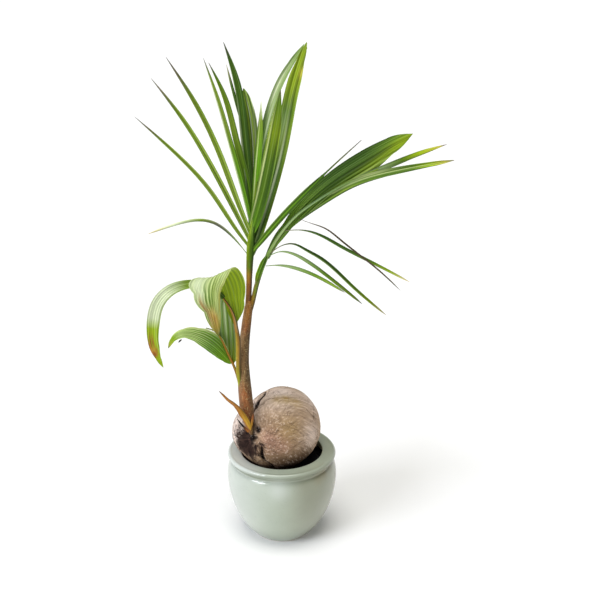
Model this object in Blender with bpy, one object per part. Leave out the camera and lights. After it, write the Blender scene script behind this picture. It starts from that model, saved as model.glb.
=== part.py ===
"""A coconut palm seedling, 0.91 m tall, that grows from its whole nut in a round glazed pot.

Units are metres, +Z is up, the front is -Y, and the origin is the centre of the pot's flat underside.
The nut lies on the soil with its stem end to the front left. The shoot leaves the nut there and forks
into two leaf stalks, each with its frond, and two older, undivided leaves stand at its left side.
Every limb is a smooth curve through a few places on it, and every leaflet is a blade swept along one.
"""

import bmesh
import bpy
import numpy as np

CLEARANCE = 0.0003  # between pieces that touch
LEAST_THICKNESS = 0.011  # of a blade, as a share of its length

POT_HEIGHT = 0.167
POT_FOOT_RADIUS = 0.056
POT_FOOT_HEIGHT = 0.004
POT_BELLY_RADIUS = 0.1005
POT_BELLY_HEIGHT = 0.112
POT_NECK_RADIUS = 0.092
POT_NECK_HEIGHT = 0.1495
POT_RIM_RADIUS = 0.100
POT_RIM_THICKNESS = 0.011
POT_BEAD = 0.001  # height of the bead round the rim's outer edge
POT_OPENING_RADIUS = 0.0766
POT_WALL = 0.007
POT_FLOOR = 0.009
POT_SEGMENTS = 48
POT_GROOVE_DEPTH = 0.004  # of the groove under the rim
SOIL_HEIGHT = 0.140
SOIL_SEGMENTS = 40
SOIL_CROWN = 0.004  # the soil's middle stands this much higher than its edge

NUT_CENTRE = (-0.0087, 0.006, 0.2052)
NUT_AXIS = (-0.47, -0.85, 0.22)  # towards the stem end
NUT_RADIUS = 0.080
NUT_HALF_LENGTH = 0.088
NUT_LOWER_TAPER = 0.36  # how much narrower the husk's underside is, where it goes down through the pot's rim
NUT_RIDGE = 0.028  # height of the three blunt ridges, as a share of the radius
NUT_RIDGE_TURN = 22.0  # where the first ridge lies, in degrees from the top towards the right
NUT_SPLIT_TURNS = (-16.0, 148.0)  # where the split runs from the stem end, in the same way
NUT_SPLIT_DEPTH = 0.006
NUT_SPLIT_WIDTH = 0.007
NUT_SPLIT_REACH = 62.0  # how far the split runs from the stem end, in degrees
NUT_DIMPLE_DEPTH = 0.007
NUT_DIMPLE_ANGLE = 16.0
NUT_SIDE_DROP = 0.010  # how much lower the husk lies on the upper left, beyond the split
NUT_SIDE_TURN = -50.0
NUT_SIDE_ANGLE = 27.0
NUT_SEAT = 0.0005  # gap between the nut and the soil
SHOOT_SEAT = 0.0007  # how far the nut is grown to cut the shoot clear of its uneven husk

SHOOT = ((-0.0526, -0.0537, 0.2254), (-0.0575, -0.0555, 0.250), (-0.062, -0.051, 0.285),
         (-0.066, -0.050, 0.324), (-0.067, -0.047, 0.371), (-0.063, -0.045, 0.418),
         (-0.053, -0.042, 0.481))
SHOOT_RADII = ((0.0, 0.003), (0.08, 0.0070), (0.19, 0.0125), (0.35, 0.0118), (0.55, 0.009),
               (1.0, 0.0084))

UPRIGHT_RIB = ((-0.0548, -0.042, 0.479), (-0.052, -0.038, 0.550), (-0.049, -0.035, 0.590),
               (-0.044, -0.032, 0.640), (-0.038, -0.030, 0.690))
UPRIGHT_RADII = ((0.0, 0.0060), (0.35, 0.0055), (1.0, 0.0015))
UPRIGHT_STALK_END = 0.36  # where the bare stalk ends and the frond begins, as a share of the rib

RIGHT_RIB = ((-0.0478, -0.043, 0.479), (-0.040, -0.045, 0.513), (-0.032, -0.047, 0.539),
             (-0.015, -0.050, 0.578), (0.005, -0.053, 0.611), (0.029, -0.057, 0.640),
             (0.059, -0.060, 0.664), (0.110, -0.065, 0.697), (0.161, -0.070, 0.722))
RIGHT_RADII = ((0.0, 0.0044), (0.25, 0.0040), (1.0, 0.0014))
RIGHT_STALK_END = 0.17

UPPER_RIB = ((-0.071, -0.054, 0.318), (-0.074, -0.060, 0.360), (-0.073, -0.067, 0.416),
             (-0.076, -0.071, 0.447), (-0.082, -0.073, 0.473), (-0.098, -0.075, 0.501))
UPPER_RADII = ((0.0, 0.0034), (0.4, 0.0036), (1.0, 0.0012))
UPPER_STALK_END = 0.62

LOWER_RIB = ((-0.071, -0.051, 0.314), (-0.0765, -0.051, 0.341), (-0.083, -0.051, 0.363),
             (-0.094, -0.052, 0.401), (-0.108, -0.053, 0.427))
LOWER_RADII = ((0.0, 0.0026), (0.4, 0.0025), (1.0, 0.0012))
LOWER_STALK_END = 0.42

SPIKE = ((-0.061, -0.060, 0.260), (-0.081, -0.073, 0.298), (-0.107, -0.080, 0.326))
SPIKE_WIDTH = 0.0095

FRONT = (0.0, -1.0, 0.35)  # what most blades face
NEAR_LOBE_ACROSS = (0.93, 0.0, 0.36)  # the width of the lobe that folds over

# Each leaflet of the upright fan: height of its root on the rib, three places on its middle line and its tip,
# and its greatest width.
UPRIGHT_LEAFLETS = (
    (0.574, (-0.073, -0.042, 0.609), (-0.116, -0.051, 0.682), (-0.174, -0.061, 0.752),
     (-0.231, -0.070, 0.809), 0.0068),
    (0.584, (-0.077, -0.027, 0.640), (-0.120, -0.014, 0.723), (-0.160, -0.002, 0.788),
     (-0.210, 0.010, 0.852), 0.0092),
    (0.596, (-0.071, -0.041, 0.661), (-0.100, -0.047, 0.748), (-0.137, -0.054, 0.832),
     (-0.175, -0.060, 0.897), 0.0098),
    (0.610, (-0.061, -0.030, 0.676), (-0.082, -0.026, 0.760), (-0.100, -0.023, 0.826),
     (-0.120, -0.020, 0.888), 0.0092),
    (0.612, (-0.057, -0.017, 0.689), (-0.073, -0.005, 0.755), (-0.089, 0.008, 0.819),
     (-0.115, 0.020, 0.873), 0.0100),
    (0.616, (-0.050, -0.012, 0.705), (-0.057, 0.004, 0.770), (-0.069, 0.020, 0.833),
     (-0.093, 0.040, 0.908), 0.0145),
    (0.615, (-0.045, 0.006, 0.709), (-0.048, 0.031, 0.763), (-0.054, 0.046, 0.794),
     (-0.060, 0.060, 0.824), 0.0185),
    (0.618, (-0.041, -0.026, 0.670), (-0.038, -0.022, 0.708), (-0.032, -0.015, 0.774),
     (-0.030, -0.010, 0.818), 0.0125),
    (0.612, (-0.031, 0.003, 0.736), (-0.017, 0.023, 0.799), (0.001, 0.039, 0.847),
     (0.041, 0.058, 0.903), 0.0125),
    (0.604, (-0.031, -0.042, 0.665), (-0.020, -0.049, 0.715), (-0.004, -0.063, 0.802),
     (0.003, -0.070, 0.850), 0.0215),
    (0.592, (-0.019, -0.019, 0.672), (0.007, -0.003, 0.771), (0.020, 0.007, 0.836),
     (0.044, 0.020, 0.912), 0.0225),
)
ARCHED_LEAFLET = ((-0.052, -0.038, 0.559), (-0.071, -0.041, 0.586), (-0.091, -0.044, 0.609),
                  (-0.114, -0.048, 0.625), (-0.137, -0.050, 0.629), (-0.167, -0.054, 0.625),
                  (-0.220, -0.060, 0.608))
ARCHED_WIDTH = 0.0066
ARCHED_BEND = 0.48  # where the arched leaflet turns down
LONE_LEAFLET = ((-0.050, -0.038, 0.565), (-0.017, -0.050, 0.610), (0.012, -0.060, 0.647),
                (0.044, -0.071, 0.684), (0.077, -0.079, 0.720), (0.128, -0.088, 0.770))
LONE_WIDTHS = ((0.0, 0.003, 0.003), (0.25, 0.0052, 0.0052), (0.50, 0.0050, 0.0050),
               (0.72, 0.0016, 0.0016), (1.0, 0.0, 0.0))

# The right frond's fused upper half: middle line, and its half widths above and below along it.
RIGHT_BLADE = ((-0.013, -0.050, 0.581), (0.014, -0.052, 0.623), (0.054, -0.053, 0.669),
               (0.100, -0.055, 0.707), (0.148, -0.057, 0.739), (0.180, -0.059, 0.760),
               (0.217, -0.060, 0.779))
RIGHT_BLADE_WIDTHS = ((0.0, 0.004, 0.004), (0.15, 0.007, 0.009), (0.45, 0.014, 0.017),
                      (0.68, 0.0165, 0.023), (0.86, 0.012, 0.0150), (1.0, 0.0, 0.0))
RIGHT_LOWER = ((-0.014, -0.053, 0.577), (0.027, -0.062, 0.639), (0.067, -0.070, 0.671),
               (0.115, -0.080, 0.702), (0.163, -0.088, 0.720), (0.210, -0.098, 0.732),
               (0.279, -0.110, 0.748))
RIGHT_LOWER_WIDTH = 0.0140
RIGHT_UPPER_TIP = ((0.130, -0.066, 0.707), (0.181, -0.066, 0.728), (0.221, -0.063, 0.744),
                   (0.272, -0.060, 0.761))
RIGHT_UPPER_TIP_WIDTH = 0.0095

# The leaflets that droop from the right rib: places on the middle line, and the greatest width.
DROOPING_LEAFLETS = {
    "leaflet_drooping_1": (((0.010, -0.055, 0.612), (0.034, -0.062, 0.617), (0.059, -0.069, 0.614),
                            (0.100, -0.083, 0.595), (0.150, -0.099, 0.573), (0.211, -0.120, 0.547)), 0.0075),
    "leaflet_drooping_2": (((-0.0145, -0.051, 0.572), (0.005, -0.051, 0.585), (0.022, -0.050, 0.587),
                            (0.042, -0.048, 0.577), (0.068, -0.044, 0.560), (0.120, -0.038, 0.510),
                            (0.182, -0.030, 0.452)), 0.0068),
    "leaflet_drooping_3": (((-0.018, -0.051, 0.566), (0.000, -0.056, 0.575), (0.017, -0.061, 0.575),
                            (0.042, -0.068, 0.565), (0.084, -0.082, 0.538), (0.136, -0.100, 0.500)), 0.0075),
    "leaflet_drooping_4": (((-0.024, -0.049, 0.547), (-0.004, -0.058, 0.5515), (0.017, -0.068, 0.5525),
                            (0.042, -0.080, 0.549), (0.067, -0.093, 0.542), (0.108, -0.114, 0.524)), 0.0075),
    "leaflet_dry_strand": (((0.028, -0.058, 0.636), (0.052, -0.070, 0.628), (0.075, -0.080, 0.622),
                            (0.100, -0.092, 0.606), (0.133, -0.106, 0.583), (0.166, -0.118, 0.561),
                            (0.196, -0.126, 0.534)), 0.0028),
}
DRY_LEAFLET = "leaflet_dry_strand"

# The upper left leaf: one lobe rises, folds over and hangs in front, and the other arches away to the left.
# Half widths are to the left and right of the middle line.
NEAR_LOBE = ((-0.078, -0.068, 0.449), (-0.085, -0.071, 0.495), (-0.094, -0.078, 0.531),
             (-0.103, -0.092, 0.548), (-0.112, -0.107, 0.535), (-0.112, -0.119, 0.502),
             (-0.103, -0.130, 0.461))
NEAR_LOBE_WIDTHS = ((0.0, 0.003, 0.003), (0.18, 0.012, 0.023), (0.36, 0.030, 0.033),
                    (0.46, 0.037, 0.032), (0.54, 0.037, 0.019), (0.78, 0.021, 0.014), (1.0, 0.0, 0.0))
NEAR_LOBE_FOLD = 0.46
FAR_LOBE = ((-0.095, -0.078, 0.500), (-0.123, -0.075, 0.521), (-0.152, -0.073, 0.523),
            (-0.183, -0.071, 0.513), (-0.207, -0.069, 0.489), (-0.2185, -0.066, 0.451),
            (-0.220, -0.064, 0.416), (-0.214, -0.062, 0.385), (-0.205, -0.060, 0.361))
FAR_LOBE_WIDTHS = ((0.0, 0.004, 0.004), (0.20, 0.006, 0.007), (0.60, 0.0120, 0.0110),
                   (0.80, 0.0090, 0.0095), (0.92, 0.004, 0.005), (1.0, 0.0, 0.0))
FAR_LOBE_BEND = 0.42

# The lower left leaf: one lobe points left, the other stands upright behind the upper leaf's stalk.
LOW_LEFT_LOBE = ((-0.086, -0.053, 0.367), (-0.115, -0.068, 0.408), (-0.141, -0.079, 0.430),
                 (-0.164, -0.087, 0.438), (-0.181, -0.094, 0.432), (-0.190, -0.100, 0.417))
LOW_LEFT_WIDTHS = ((0.0, 0.003, 0.003), (0.22, 0.013, 0.0135), (0.45, 0.0125, 0.0135),
                   (0.70, 0.007, 0.0070), (0.90, 0.004, 0.0035), (1.0, 0.0, 0.0))
LOW_RIGHT_LOBE = ((-0.086, -0.052, 0.366), (-0.088, -0.045, 0.405), (-0.090, -0.042, 0.450),
                  (-0.094, -0.040, 0.500))
LOW_RIGHT_WIDTHS = ((0.0, 0.004, 0.004), (0.45, 0.014, 0.013), (0.75, 0.015, 0.013), (1.0, 0.0, 0.0))


def clear_scene():
    """Removes what the scene holds, so that only this plant is in it."""
    for obj in list(bpy.data.objects):
        bpy.data.objects.remove(obj, do_unlink=True)


def material(name, colour, roughness, metallic=0.0):
    """A plain surface of one colour."""
    made = bpy.data.materials.new(name)
    made.use_nodes = True
    shader = made.node_tree.nodes["Principled BSDF"]
    shader.inputs["Base Color"].default_value = (*colour, 1.0)
    shader.inputs["Roughness"].default_value = roughness
    shader.inputs["Metallic"].default_value = metallic
    return made


def add(name, points, faces, surface):
    """Makes an object of the points and faces."""
    mesh = bpy.data.meshes.new(name)
    mesh.from_pydata(np.asarray(points).tolist(), [], faces)
    mesh.materials.append(surface)
    mesh.shade_smooth()
    mesh.set_sharp_from_angle(angle=np.radians(35))
    obj = bpy.data.objects.new(name, mesh)
    bpy.context.scene.collection.objects.link(obj)
    return obj


def unit(vectors):
    """The vectors at length 1."""
    return vectors / np.linalg.norm(vectors, axis=-1, keepdims=True)


def through(places, count):
    """A natural cubic spline through the places, as evenly spaced points."""
    places = np.asarray(places, float)
    knots = np.concatenate([[0.0], np.cumsum(np.linalg.norm(np.diff(places, axis=0), axis=1))])
    gaps = np.diff(knots)
    size = len(places)
    matrix = np.eye(size)
    right = np.zeros((size, 3))
    for i in range(1, size - 1):
        matrix[i, i - 1:i + 2] = gaps[i - 1], 2 * (gaps[i - 1] + gaps[i]), gaps[i]
        right[i] = 6 * ((places[i + 1] - places[i]) / gaps[i] - (places[i] - places[i - 1]) / gaps[i - 1])
    bends = np.linalg.solve(matrix, right)
    fine = np.linspace(0, knots[-1], 600)
    cell = np.clip(np.searchsorted(knots, fine) - 1, 0, size - 2)
    before, after, gap = (fine - knots[cell])[:, None], (knots[cell + 1] - fine)[:, None], gaps[cell][:, None]
    curve = (bends[cell] * after**3 + bends[cell + 1] * before**3) / (6 * gap)
    curve += (places[cell] / gap - bends[cell] * gap / 6) * after
    curve += (places[cell + 1] / gap - bends[cell + 1] * gap / 6) * before
    run = np.concatenate([[0.0], np.cumsum(np.linalg.norm(np.diff(curve, axis=0), axis=1))])
    even = np.linspace(0, run[-1], count)
    return np.stack([np.interp(even, run, curve[:, k]) for k in range(3)], axis=-1)


def length_of(places):
    """Length of the smooth curve through the places."""
    return np.linalg.norm(np.diff(through(places, 200), axis=0), axis=1).sum()


def stretch(places, start, end, count):
    """Points, headings and shares of the smooth curve between two shares of its length."""
    whole = through(places, 401)
    along = unit(np.gradient(whole, axis=0))
    share = np.linspace(0, 1, len(whole))
    wanted = np.linspace(start, end, count)
    path, heading = (np.stack([np.interp(wanted, share, row[:, k]) for k in range(3)], axis=-1)
                     for row in (whole, along))
    past = np.clip(wanted - 1, 0, None)[:, None] * length_of(places)
    return path + past * unit(heading), unit(heading), wanted


def loft(rings):
    """Points and faces of the closed skin over a row of rings, with each end ring filled by a strip."""
    count, sides = rings.shape[:2]
    points = rings.reshape(-1, 3)
    faces = []
    for i in range(count - 1):
        for j in range(sides):
            k = (j + 1) % sides
            faces.append((i * sides + j, i * sides + k, (i + 1) * sides + k, (i + 1) * sides + j))
    last = (count - 1) * sides
    for j in range(sides // 2):
        near, far = j, j + 1
        other_near, other_far = (sides - j) % sides, sides - j - 1
        strip = [far, near, other_near, other_far]
        strip = [corner for place, corner in enumerate(strip) if corner not in strip[:place]]
        if len(strip) > 2:
            faces.append(tuple(strip))
            faces.append(tuple(last + corner for corner in reversed(strip)))
    return points, faces


def tidy(obj):
    """Joins the points of a ring that has shrunk to a tip, and turns every face outwards."""
    work = bmesh.new()
    work.from_mesh(obj.data)
    bmesh.ops.remove_doubles(work, verts=work.verts, dist=1e-6)
    bmesh.ops.dissolve_degenerate(work, edges=work.edges, dist=1e-7)
    bmesh.ops.recalc_face_normals(work, faces=work.faces)
    if work.calc_volume(signed=True) < 0:
        bmesh.ops.reverse_faces(work, faces=work.faces)
    work.to_mesh(obj.data)
    work.free()
    return obj


def at(shares, rows, column):
    """Reads one column of the rows (share, value, ...) at each share, level where the value is greatest."""
    rows = np.asarray(rows, float)
    cell = np.clip(np.searchsorted(rows[:, 0], shares, side="right") - 1, 0, len(rows) - 2)
    part = (shares - rows[cell, 0]) / (rows[cell + 1, 0] - rows[cell, 0])
    before, after = rows[cell, column], rows[cell + 1, column]
    part = np.where(after > before, np.sin(part * np.pi / 2), 1 - np.cos(part * np.pi / 2))
    return before + (after - before) * part


def limb(name, places, radii, surface, start=0.0, end=1.0, sides=10, count=14, grow=0.0):
    """A round, tapering limb along a smooth curve."""
    path, along, shares = stretch(places, start, end, count)
    across = unit(np.cross(along, np.array([0.0, -1.0, 0.0])))
    up = np.cross(across, along)
    table = np.asarray(radii)
    radius = np.interp(shares, table[:, 0], table[:, 1]) + grow
    turn = np.linspace(0, 2 * np.pi, sides, endpoint=False)
    ring = across[:, None] * np.cos(turn)[None, :, None] + up[:, None] * np.sin(turn)[None, :, None]
    rings = path[:, None] + radius[:, None, None] * ring
    return tidy(add(name, *loft(rings), surface))


def blade(name, places, widths, surface, start=0.0, end=1.0, count=11, across=None, fold=0.25, pleats=0,
          grow=0.0):
    """A thin blade along a smooth curve, with knife edges. widths holds (share, left, right) half widths.

    The blade faces the front, or its width lies along across where that is given. fold lifts the edges by
    that share of the width, and pleats ridges run along the blade.
    """
    path, along, shares = stretch(places, start, end, count)
    if across is None:
        across = unit(np.cross(along, np.asarray(FRONT)))
    else:
        across = np.broadcast_to(across, along.shape)
        across = unit(across - (across * along).sum(axis=1, keepdims=True) * along)
    up = np.cross(across, along)
    thick = LEAST_THICKNESS * length_of(places)
    steps = 2 * pleats + 3
    place = np.linspace(-1, 1, steps)
    left, right = at(shares, widths, 1) + grow, at(shares, widths, 2) + grow
    sideways = np.where(place[None] < 0, left[:, None], right[:, None]) * place[None]
    ridge = 0.5 * thick * (-1.0) ** np.arange(steps) * (pleats > 0)
    lift = fold * np.abs(sideways) + ridge[None] * np.minimum(1, sideways.ptp(axis=1) / (6 * thick))[:, None]
    half = np.where(np.abs(place) < 1, thick / 2 + grow, 0.0)[None]
    half = half * np.minimum(1, (left + right) / thick)[:, None]
    top = path[:, None] + sideways[..., None] * across[:, None] + (lift + half)[..., None] * up[:, None]
    under = path[:, None] + sideways[..., None] * across[:, None] + (lift - half)[..., None] * up[:, None]
    rings = np.concatenate([top, under[:, -2:0:-1]], axis=1)
    return tidy(add(name, *loft(rings), surface))


def leaflet_widths(width):
    """The half widths of a narrow leaflet: a slim foot, its full width after a third, and a long point."""
    return ((0.0, 0.30 * width, 0.30 * width), (0.35, 0.5 * width, 0.5 * width),
            (0.65, 0.42 * width, 0.42 * width), (1.0, 0.0, 0.0))


def boolean(obj, others, operation):
    """Joins the other objects to this one, or cuts them from it, and removes them."""
    helpers = bpy.data.collections.new("helpers")
    bpy.context.scene.collection.children.link(helpers)
    for other in others:
        helpers.objects.link(other)
        bpy.context.scene.collection.objects.unlink(other)
    step = obj.modifiers.new(operation.lower(), "BOOLEAN")
    step.operation = operation
    step.operand_type = "COLLECTION"
    step.collection = helpers
    step.solver = "MANIFOLD"
    graph = bpy.context.evaluated_depsgraph_get()
    made = bpy.data.meshes.new_from_object(obj.evaluated_get(graph))
    obj.modifiers.clear()
    obj.data = made
    for other in others:
        bpy.data.objects.remove(other, do_unlink=True)
    bpy.data.collections.remove(helpers)
    return obj


def turned(name, profile, surface, segments=POT_SEGMENTS):
    """A solid of revolution about Z. The profile starts and ends on the axis and runs down its outer side."""
    points = [(radius, 0.0, height) for radius, height in profile]
    edges = [(i, i + 1) for i in range(len(points) - 1)]
    mesh = bpy.data.meshes.new(name)
    mesh.from_pydata(points, edges, [])
    mesh.materials.append(surface)
    obj = bpy.data.objects.new(name, mesh)
    bpy.context.scene.collection.objects.link(obj)
    spin = obj.modifiers.new("spin", "SCREW")
    spin.steps = spin.render_steps = segments
    spin.use_merge_vertices = True
    spin.merge_threshold = 1e-5
    spin.use_smooth_shade = True
    return obj


def bend_between(start, control_a, control_b, end, count):
    """Points of a cubic Bezier curve, without its first point."""
    t = np.linspace(0, 1, count + 1)[1:, None]
    a, b, c, d = (np.asarray(p, float) for p in (start, control_a, control_b, end))
    return ((1 - t)**3 * a + 3 * (1 - t)**2 * t * b + 3 * (1 - t) * t**2 * c + t**3 * d).tolist()


def pot_wall(inset=0.0):
    """The pot's wall from the neck down to the foot as (radius, height), moved in by the inset."""
    neck = (POT_NECK_RADIUS, POT_NECK_HEIGHT)
    belly = (POT_BELLY_RADIUS, POT_BELLY_HEIGHT)
    foot = (POT_FOOT_RADIUS, POT_FOOT_HEIGHT)
    shoulder = (POT_NECK_RADIUS + 0.6 * (POT_BELLY_RADIUS - POT_NECK_RADIUS), POT_NECK_HEIGHT - 0.0045)
    over_belly = (POT_BELLY_RADIUS, 0.5 * (POT_BELLY_HEIGHT + POT_NECK_HEIGHT))
    under_belly = (POT_BELLY_RADIUS, 0.7 * POT_BELLY_HEIGHT)
    over_foot = (POT_FOOT_RADIUS + 0.030, 0.27 * POT_BELLY_HEIGHT)
    curve = [neck]
    curve += bend_between(neck, shoulder, over_belly, belly, 4)
    curve += bend_between(belly, under_belly, over_foot, foot, 8)
    return [(radius - inset, height) for radius, height in curve]


def pot_rim():
    """The rim from its inner lower edge over the top and the bead to the groove, as (radius, height)."""
    inner, outer = POT_OPENING_RADIUS, POT_RIM_RADIUS
    flat = POT_HEIGHT - POT_BEAD
    under = POT_HEIGHT - POT_RIM_THICKNESS
    bevel = 0.002
    return [
        (inner, under),
        (inner, flat - bevel),
        (inner + bevel, flat),
        (outer - 4 * bevel, flat),
        (outer - 2.5 * bevel, POT_HEIGHT),
        (outer - bevel, flat),
        (outer, flat - 1.5 * bevel),
        (outer - 0.25 * bevel, flat - 3 * bevel),
        (outer - POT_GROOVE_DEPTH, under + POT_BEAD),
        (outer - 1.25 * POT_GROOVE_DEPTH, under - POT_BEAD),
    ]


def build_pot():
    """The pot: a flat foot, a round belly that narrows to a neck, and a wide flat rim with a rounded lip."""
    glaze = material("glazed_stoneware", (0.47, 0.53, 0.46), 0.22)
    inside = [point for point in pot_wall(POT_WALL) if point[1] > POT_FLOOR]
    inside += [(POT_FOOT_RADIUS - POT_WALL, POT_FLOOR), (0.0, POT_FLOOR)]
    profile = inside[::-1]
    profile += [(POT_OPENING_RADIUS + POT_BEAD, POT_NECK_HEIGHT + POT_GROOVE_DEPTH)]
    profile += pot_rim() + pot_wall()
    profile += [(POT_FOOT_RADIUS - 0.002, 0.001), (POT_FOOT_RADIUS - 0.004, 0.0), (0.0, 0.0)]
    return turned("pot", profile, glaze)


def degrees_from(turn, meridian):
    """How far each turn in radians lies from the meridian, in degrees from -180 to 180."""
    return (np.degrees(turn) - meridian + 180) % 360 - 180


def nut(name, surface, grow=0.0, around=36, along=24):
    """The nut in its husk: an egg with three blunt ridges, split over its dimpled stem end."""
    axis = unit(np.asarray(NUT_AXIS))
    up = unit(np.array([0.0, 0.0, 1.0]) - axis[2] * axis)
    right = np.cross(up, axis)
    polar = np.linspace(0, np.pi, along)[:, None]
    turn = np.linspace(0, 2 * np.pi, around, endpoint=False)[None]
    swell = 1 + NUT_RIDGE * np.cos(3 * (turn - np.radians(NUT_RIDGE_TURN))) * np.sin(polar) ** 2
    dent = NUT_DIMPLE_DEPTH * np.exp(-(np.degrees(polar) / NUT_DIMPLE_ANGLE) ** 2)
    beside = np.exp(-(degrees_from(turn, NUT_SIDE_TURN) / NUT_SIDE_ANGLE) ** 2)
    dent = dent + NUT_SIDE_DROP * beside * np.sin(polar) ** 2
    for meridian in NUT_SPLIT_TURNS:
        away = np.radians(degrees_from(turn, meridian))
        reach = 1 / (1 + np.exp((np.degrees(polar) - NUT_SPLIT_REACH) / 6))
        sideways = away * np.sin(polar) * NUT_RADIUS
        dent = dent + NUT_SPLIT_DEPTH * reach * np.exp(-(sideways / NUT_SPLIT_WIDTH) ** 2)
    radial = NUT_RADIUS * np.sin(polar) * swell
    direction = np.cos(polar)[..., None] * axis + np.sin(polar)[..., None] * (
        np.cos(turn)[..., None] * up + np.sin(turn)[..., None] * right)
    local = NUT_HALF_LENGTH * np.cos(polar)[..., None] * axis + radial[..., None] * (
        np.cos(turn)[..., None] * up + np.sin(turn)[..., None] * right)
    local = local - (dent - grow)[..., None] * direction
    depth = np.clip(-local[..., 2] / NUT_RADIUS, 0, 1)
    local[..., :2] *= (1 - NUT_LOWER_TAPER * depth**2)[..., None]
    return tidy(add(name, *loft(local + np.asarray(NUT_CENTRE)), surface))


def build_nut_and_soil():
    """The nut, and the soil that fills the pot and holds its underside."""
    husk = material("husk", (0.38, 0.26, 0.17), 0.85)
    earth = material("soil", (0.012, 0.012, 0.015), 0.95)
    nut("coconut", husk)
    side = [(radius, height) for radius, height in pot_wall(POT_WALL + CLEARANCE) if height < SOIL_HEIGHT]
    floor = POT_FLOOR + CLEARANCE
    side = [point for point in side if point[1] > floor + 0.004]
    edge = side[0][0] + 0.0005
    profile = [(0.0, SOIL_HEIGHT + SOIL_CROWN), (0.4 * edge, SOIL_HEIGHT + 0.8 * SOIL_CROWN)]
    profile += [(0.8 * edge, SOIL_HEIGHT + 0.3 * SOIL_CROWN), (edge - 0.003, SOIL_HEIGHT)]
    profile += side + [(POT_FOOT_RADIUS - POT_WALL - 0.006, floor), (0.0, floor)]
    soil = turned("soil", profile, earth, segments=SOIL_SEGMENTS)
    return boolean(soil, [nut("seat", husk, grow=NUT_SEAT)], "DIFFERENCE")


def build_shoot(surfaces):
    """The shoot, from its wedge-shaped foot in the nut to the fork, and the dry spike at its foot."""
    shoot = limb("shoot", SHOOT, SHOOT_RADII, surfaces["bark"], sides=14, count=18)
    boolean(shoot, [nut("seat", surfaces["bark"], grow=SHOOT_SEAT)], "DIFFERENCE")
    foot, middle = 0.5 * SPIKE_WIDTH, 0.35 * SPIKE_WIDTH
    widths = ((0.0, foot, foot), (0.4, middle, middle), (1.0, 0.0, 0.0))
    spike = blade("sheath_spike", SPIKE, widths, surfaces["dry"], count=7)
    boolean(spike, [grown_shoot(surfaces)], "DIFFERENCE")


def grown_shoot(surfaces):
    """The shoot made thicker and longer by the clearance, to cut its neighbours clear of it."""
    longer = 1 + CLEARANCE / length_of(SHOOT)
    return limb("shoot_room", SHOOT, SHOOT_RADII, surfaces["bark"], end=longer, sides=14, count=18,
                grow=CLEARANCE)


def build_stalks(surfaces):
    """The four leaf stalks. Each starts at the shoot's side or at its fork."""
    stalk = surfaces["stalk"]
    upright = limb("stalk_upright", UPRIGHT_RIB, UPRIGHT_RADII, stalk, end=UPRIGHT_STALK_END, count=7)
    boolean(upright, [grown_shoot(surfaces)], "DIFFERENCE")
    right = limb("stalk_right", RIGHT_RIB, RIGHT_RADII, stalk, end=RIGHT_STALK_END, sides=8, count=6)
    room = limb("room", UPRIGHT_RIB, UPRIGHT_RADII, stalk, end=UPRIGHT_STALK_END, count=7, grow=CLEARANCE)
    boolean(right, [grown_shoot(surfaces), room], "DIFFERENCE")
    upper = limb("stalk_upper_left", UPPER_RIB, UPPER_RADII, stalk, end=UPPER_STALK_END, sides=8, count=8)
    boolean(upper, [grown_shoot(surfaces)], "DIFFERENCE")
    lower = limb("stalk_lower_left", LOWER_RIB, LOWER_RADII, stalk, end=LOWER_STALK_END, sides=8, count=5)
    boolean(lower, [grown_shoot(surfaces)], "DIFFERENCE")


def place_at_height(places, height):
    """The point of the smooth curve at that height."""
    path = through(places, 300)
    return path[np.argmin(np.abs(path[:, 2] - height))]


def build_upright_frond(surfaces):
    """The upright frond: a fan of leaflets on its rib, and two leaflets that stand apart from the fan."""
    leaf = surfaces["leaf"]
    start = UPRIGHT_STALK_END + CLEARANCE / length_of(UPRIGHT_RIB)
    frond = limb("frond_upright", UPRIGHT_RIB, UPRIGHT_RADII, leaf, start=start, count=7, sides=8)
    pieces = []
    for number, (height, *places, width) in enumerate(UPRIGHT_LEAFLETS):
        root = place_at_height(UPRIGHT_RIB, height)
        pieces.append(blade(f"leaflet_{number}", (root, *places), leaflet_widths(width), leaf, count=9))
    widths = leaflet_widths(ARCHED_WIDTH)
    pieces.append(blade("leaflet_arch", ARCHED_LEAFLET, widths, leaf, end=ARCHED_BEND, count=6))
    boolean(frond, pieces, "UNION")
    start = ARCHED_BEND + CLEARANCE / length_of(ARCHED_LEAFLET)
    blade("leaflet_arched_tip", ARCHED_LEAFLET, widths, leaf, start=start, count=6)


def build_lone_leaflet(surfaces):
    """The leaflet that leaves the upright frond's foot and passes in front of the right frond."""
    leaf = surfaces["leaf"]
    lone = blade("leaflet_lone", LONE_LEAFLET, LONE_WIDTHS, leaf, count=12)
    room = limb("room", UPRIGHT_RIB, UPRIGHT_RADII, leaf, start=0.2, grow=CLEARANCE, count=9)
    boolean(lone, [room], "DIFFERENCE")


def right_frond_pieces(leaf, grow=0.0):
    """The rib of the right frond, its fused upper half, its lower half and the leaflet between their tips."""
    start = RIGHT_STALK_END + (0.0 if grow else CLEARANCE / length_of(RIGHT_RIB))
    return [
        limb("rib", RIGHT_RIB, RIGHT_RADII, leaf, start=start, count=12, sides=8, grow=grow),
        blade("fused", RIGHT_BLADE, RIGHT_BLADE_WIDTHS, leaf, count=12, fold=0.0, pleats=3, grow=grow),
        blade("lower", RIGHT_LOWER, leaflet_widths(RIGHT_LOWER_WIDTH), leaf, count=11, grow=grow),
        blade("upper_tip", RIGHT_UPPER_TIP, leaflet_widths(RIGHT_UPPER_TIP_WIDTH), leaf, count=7, grow=grow),
    ]


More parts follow.
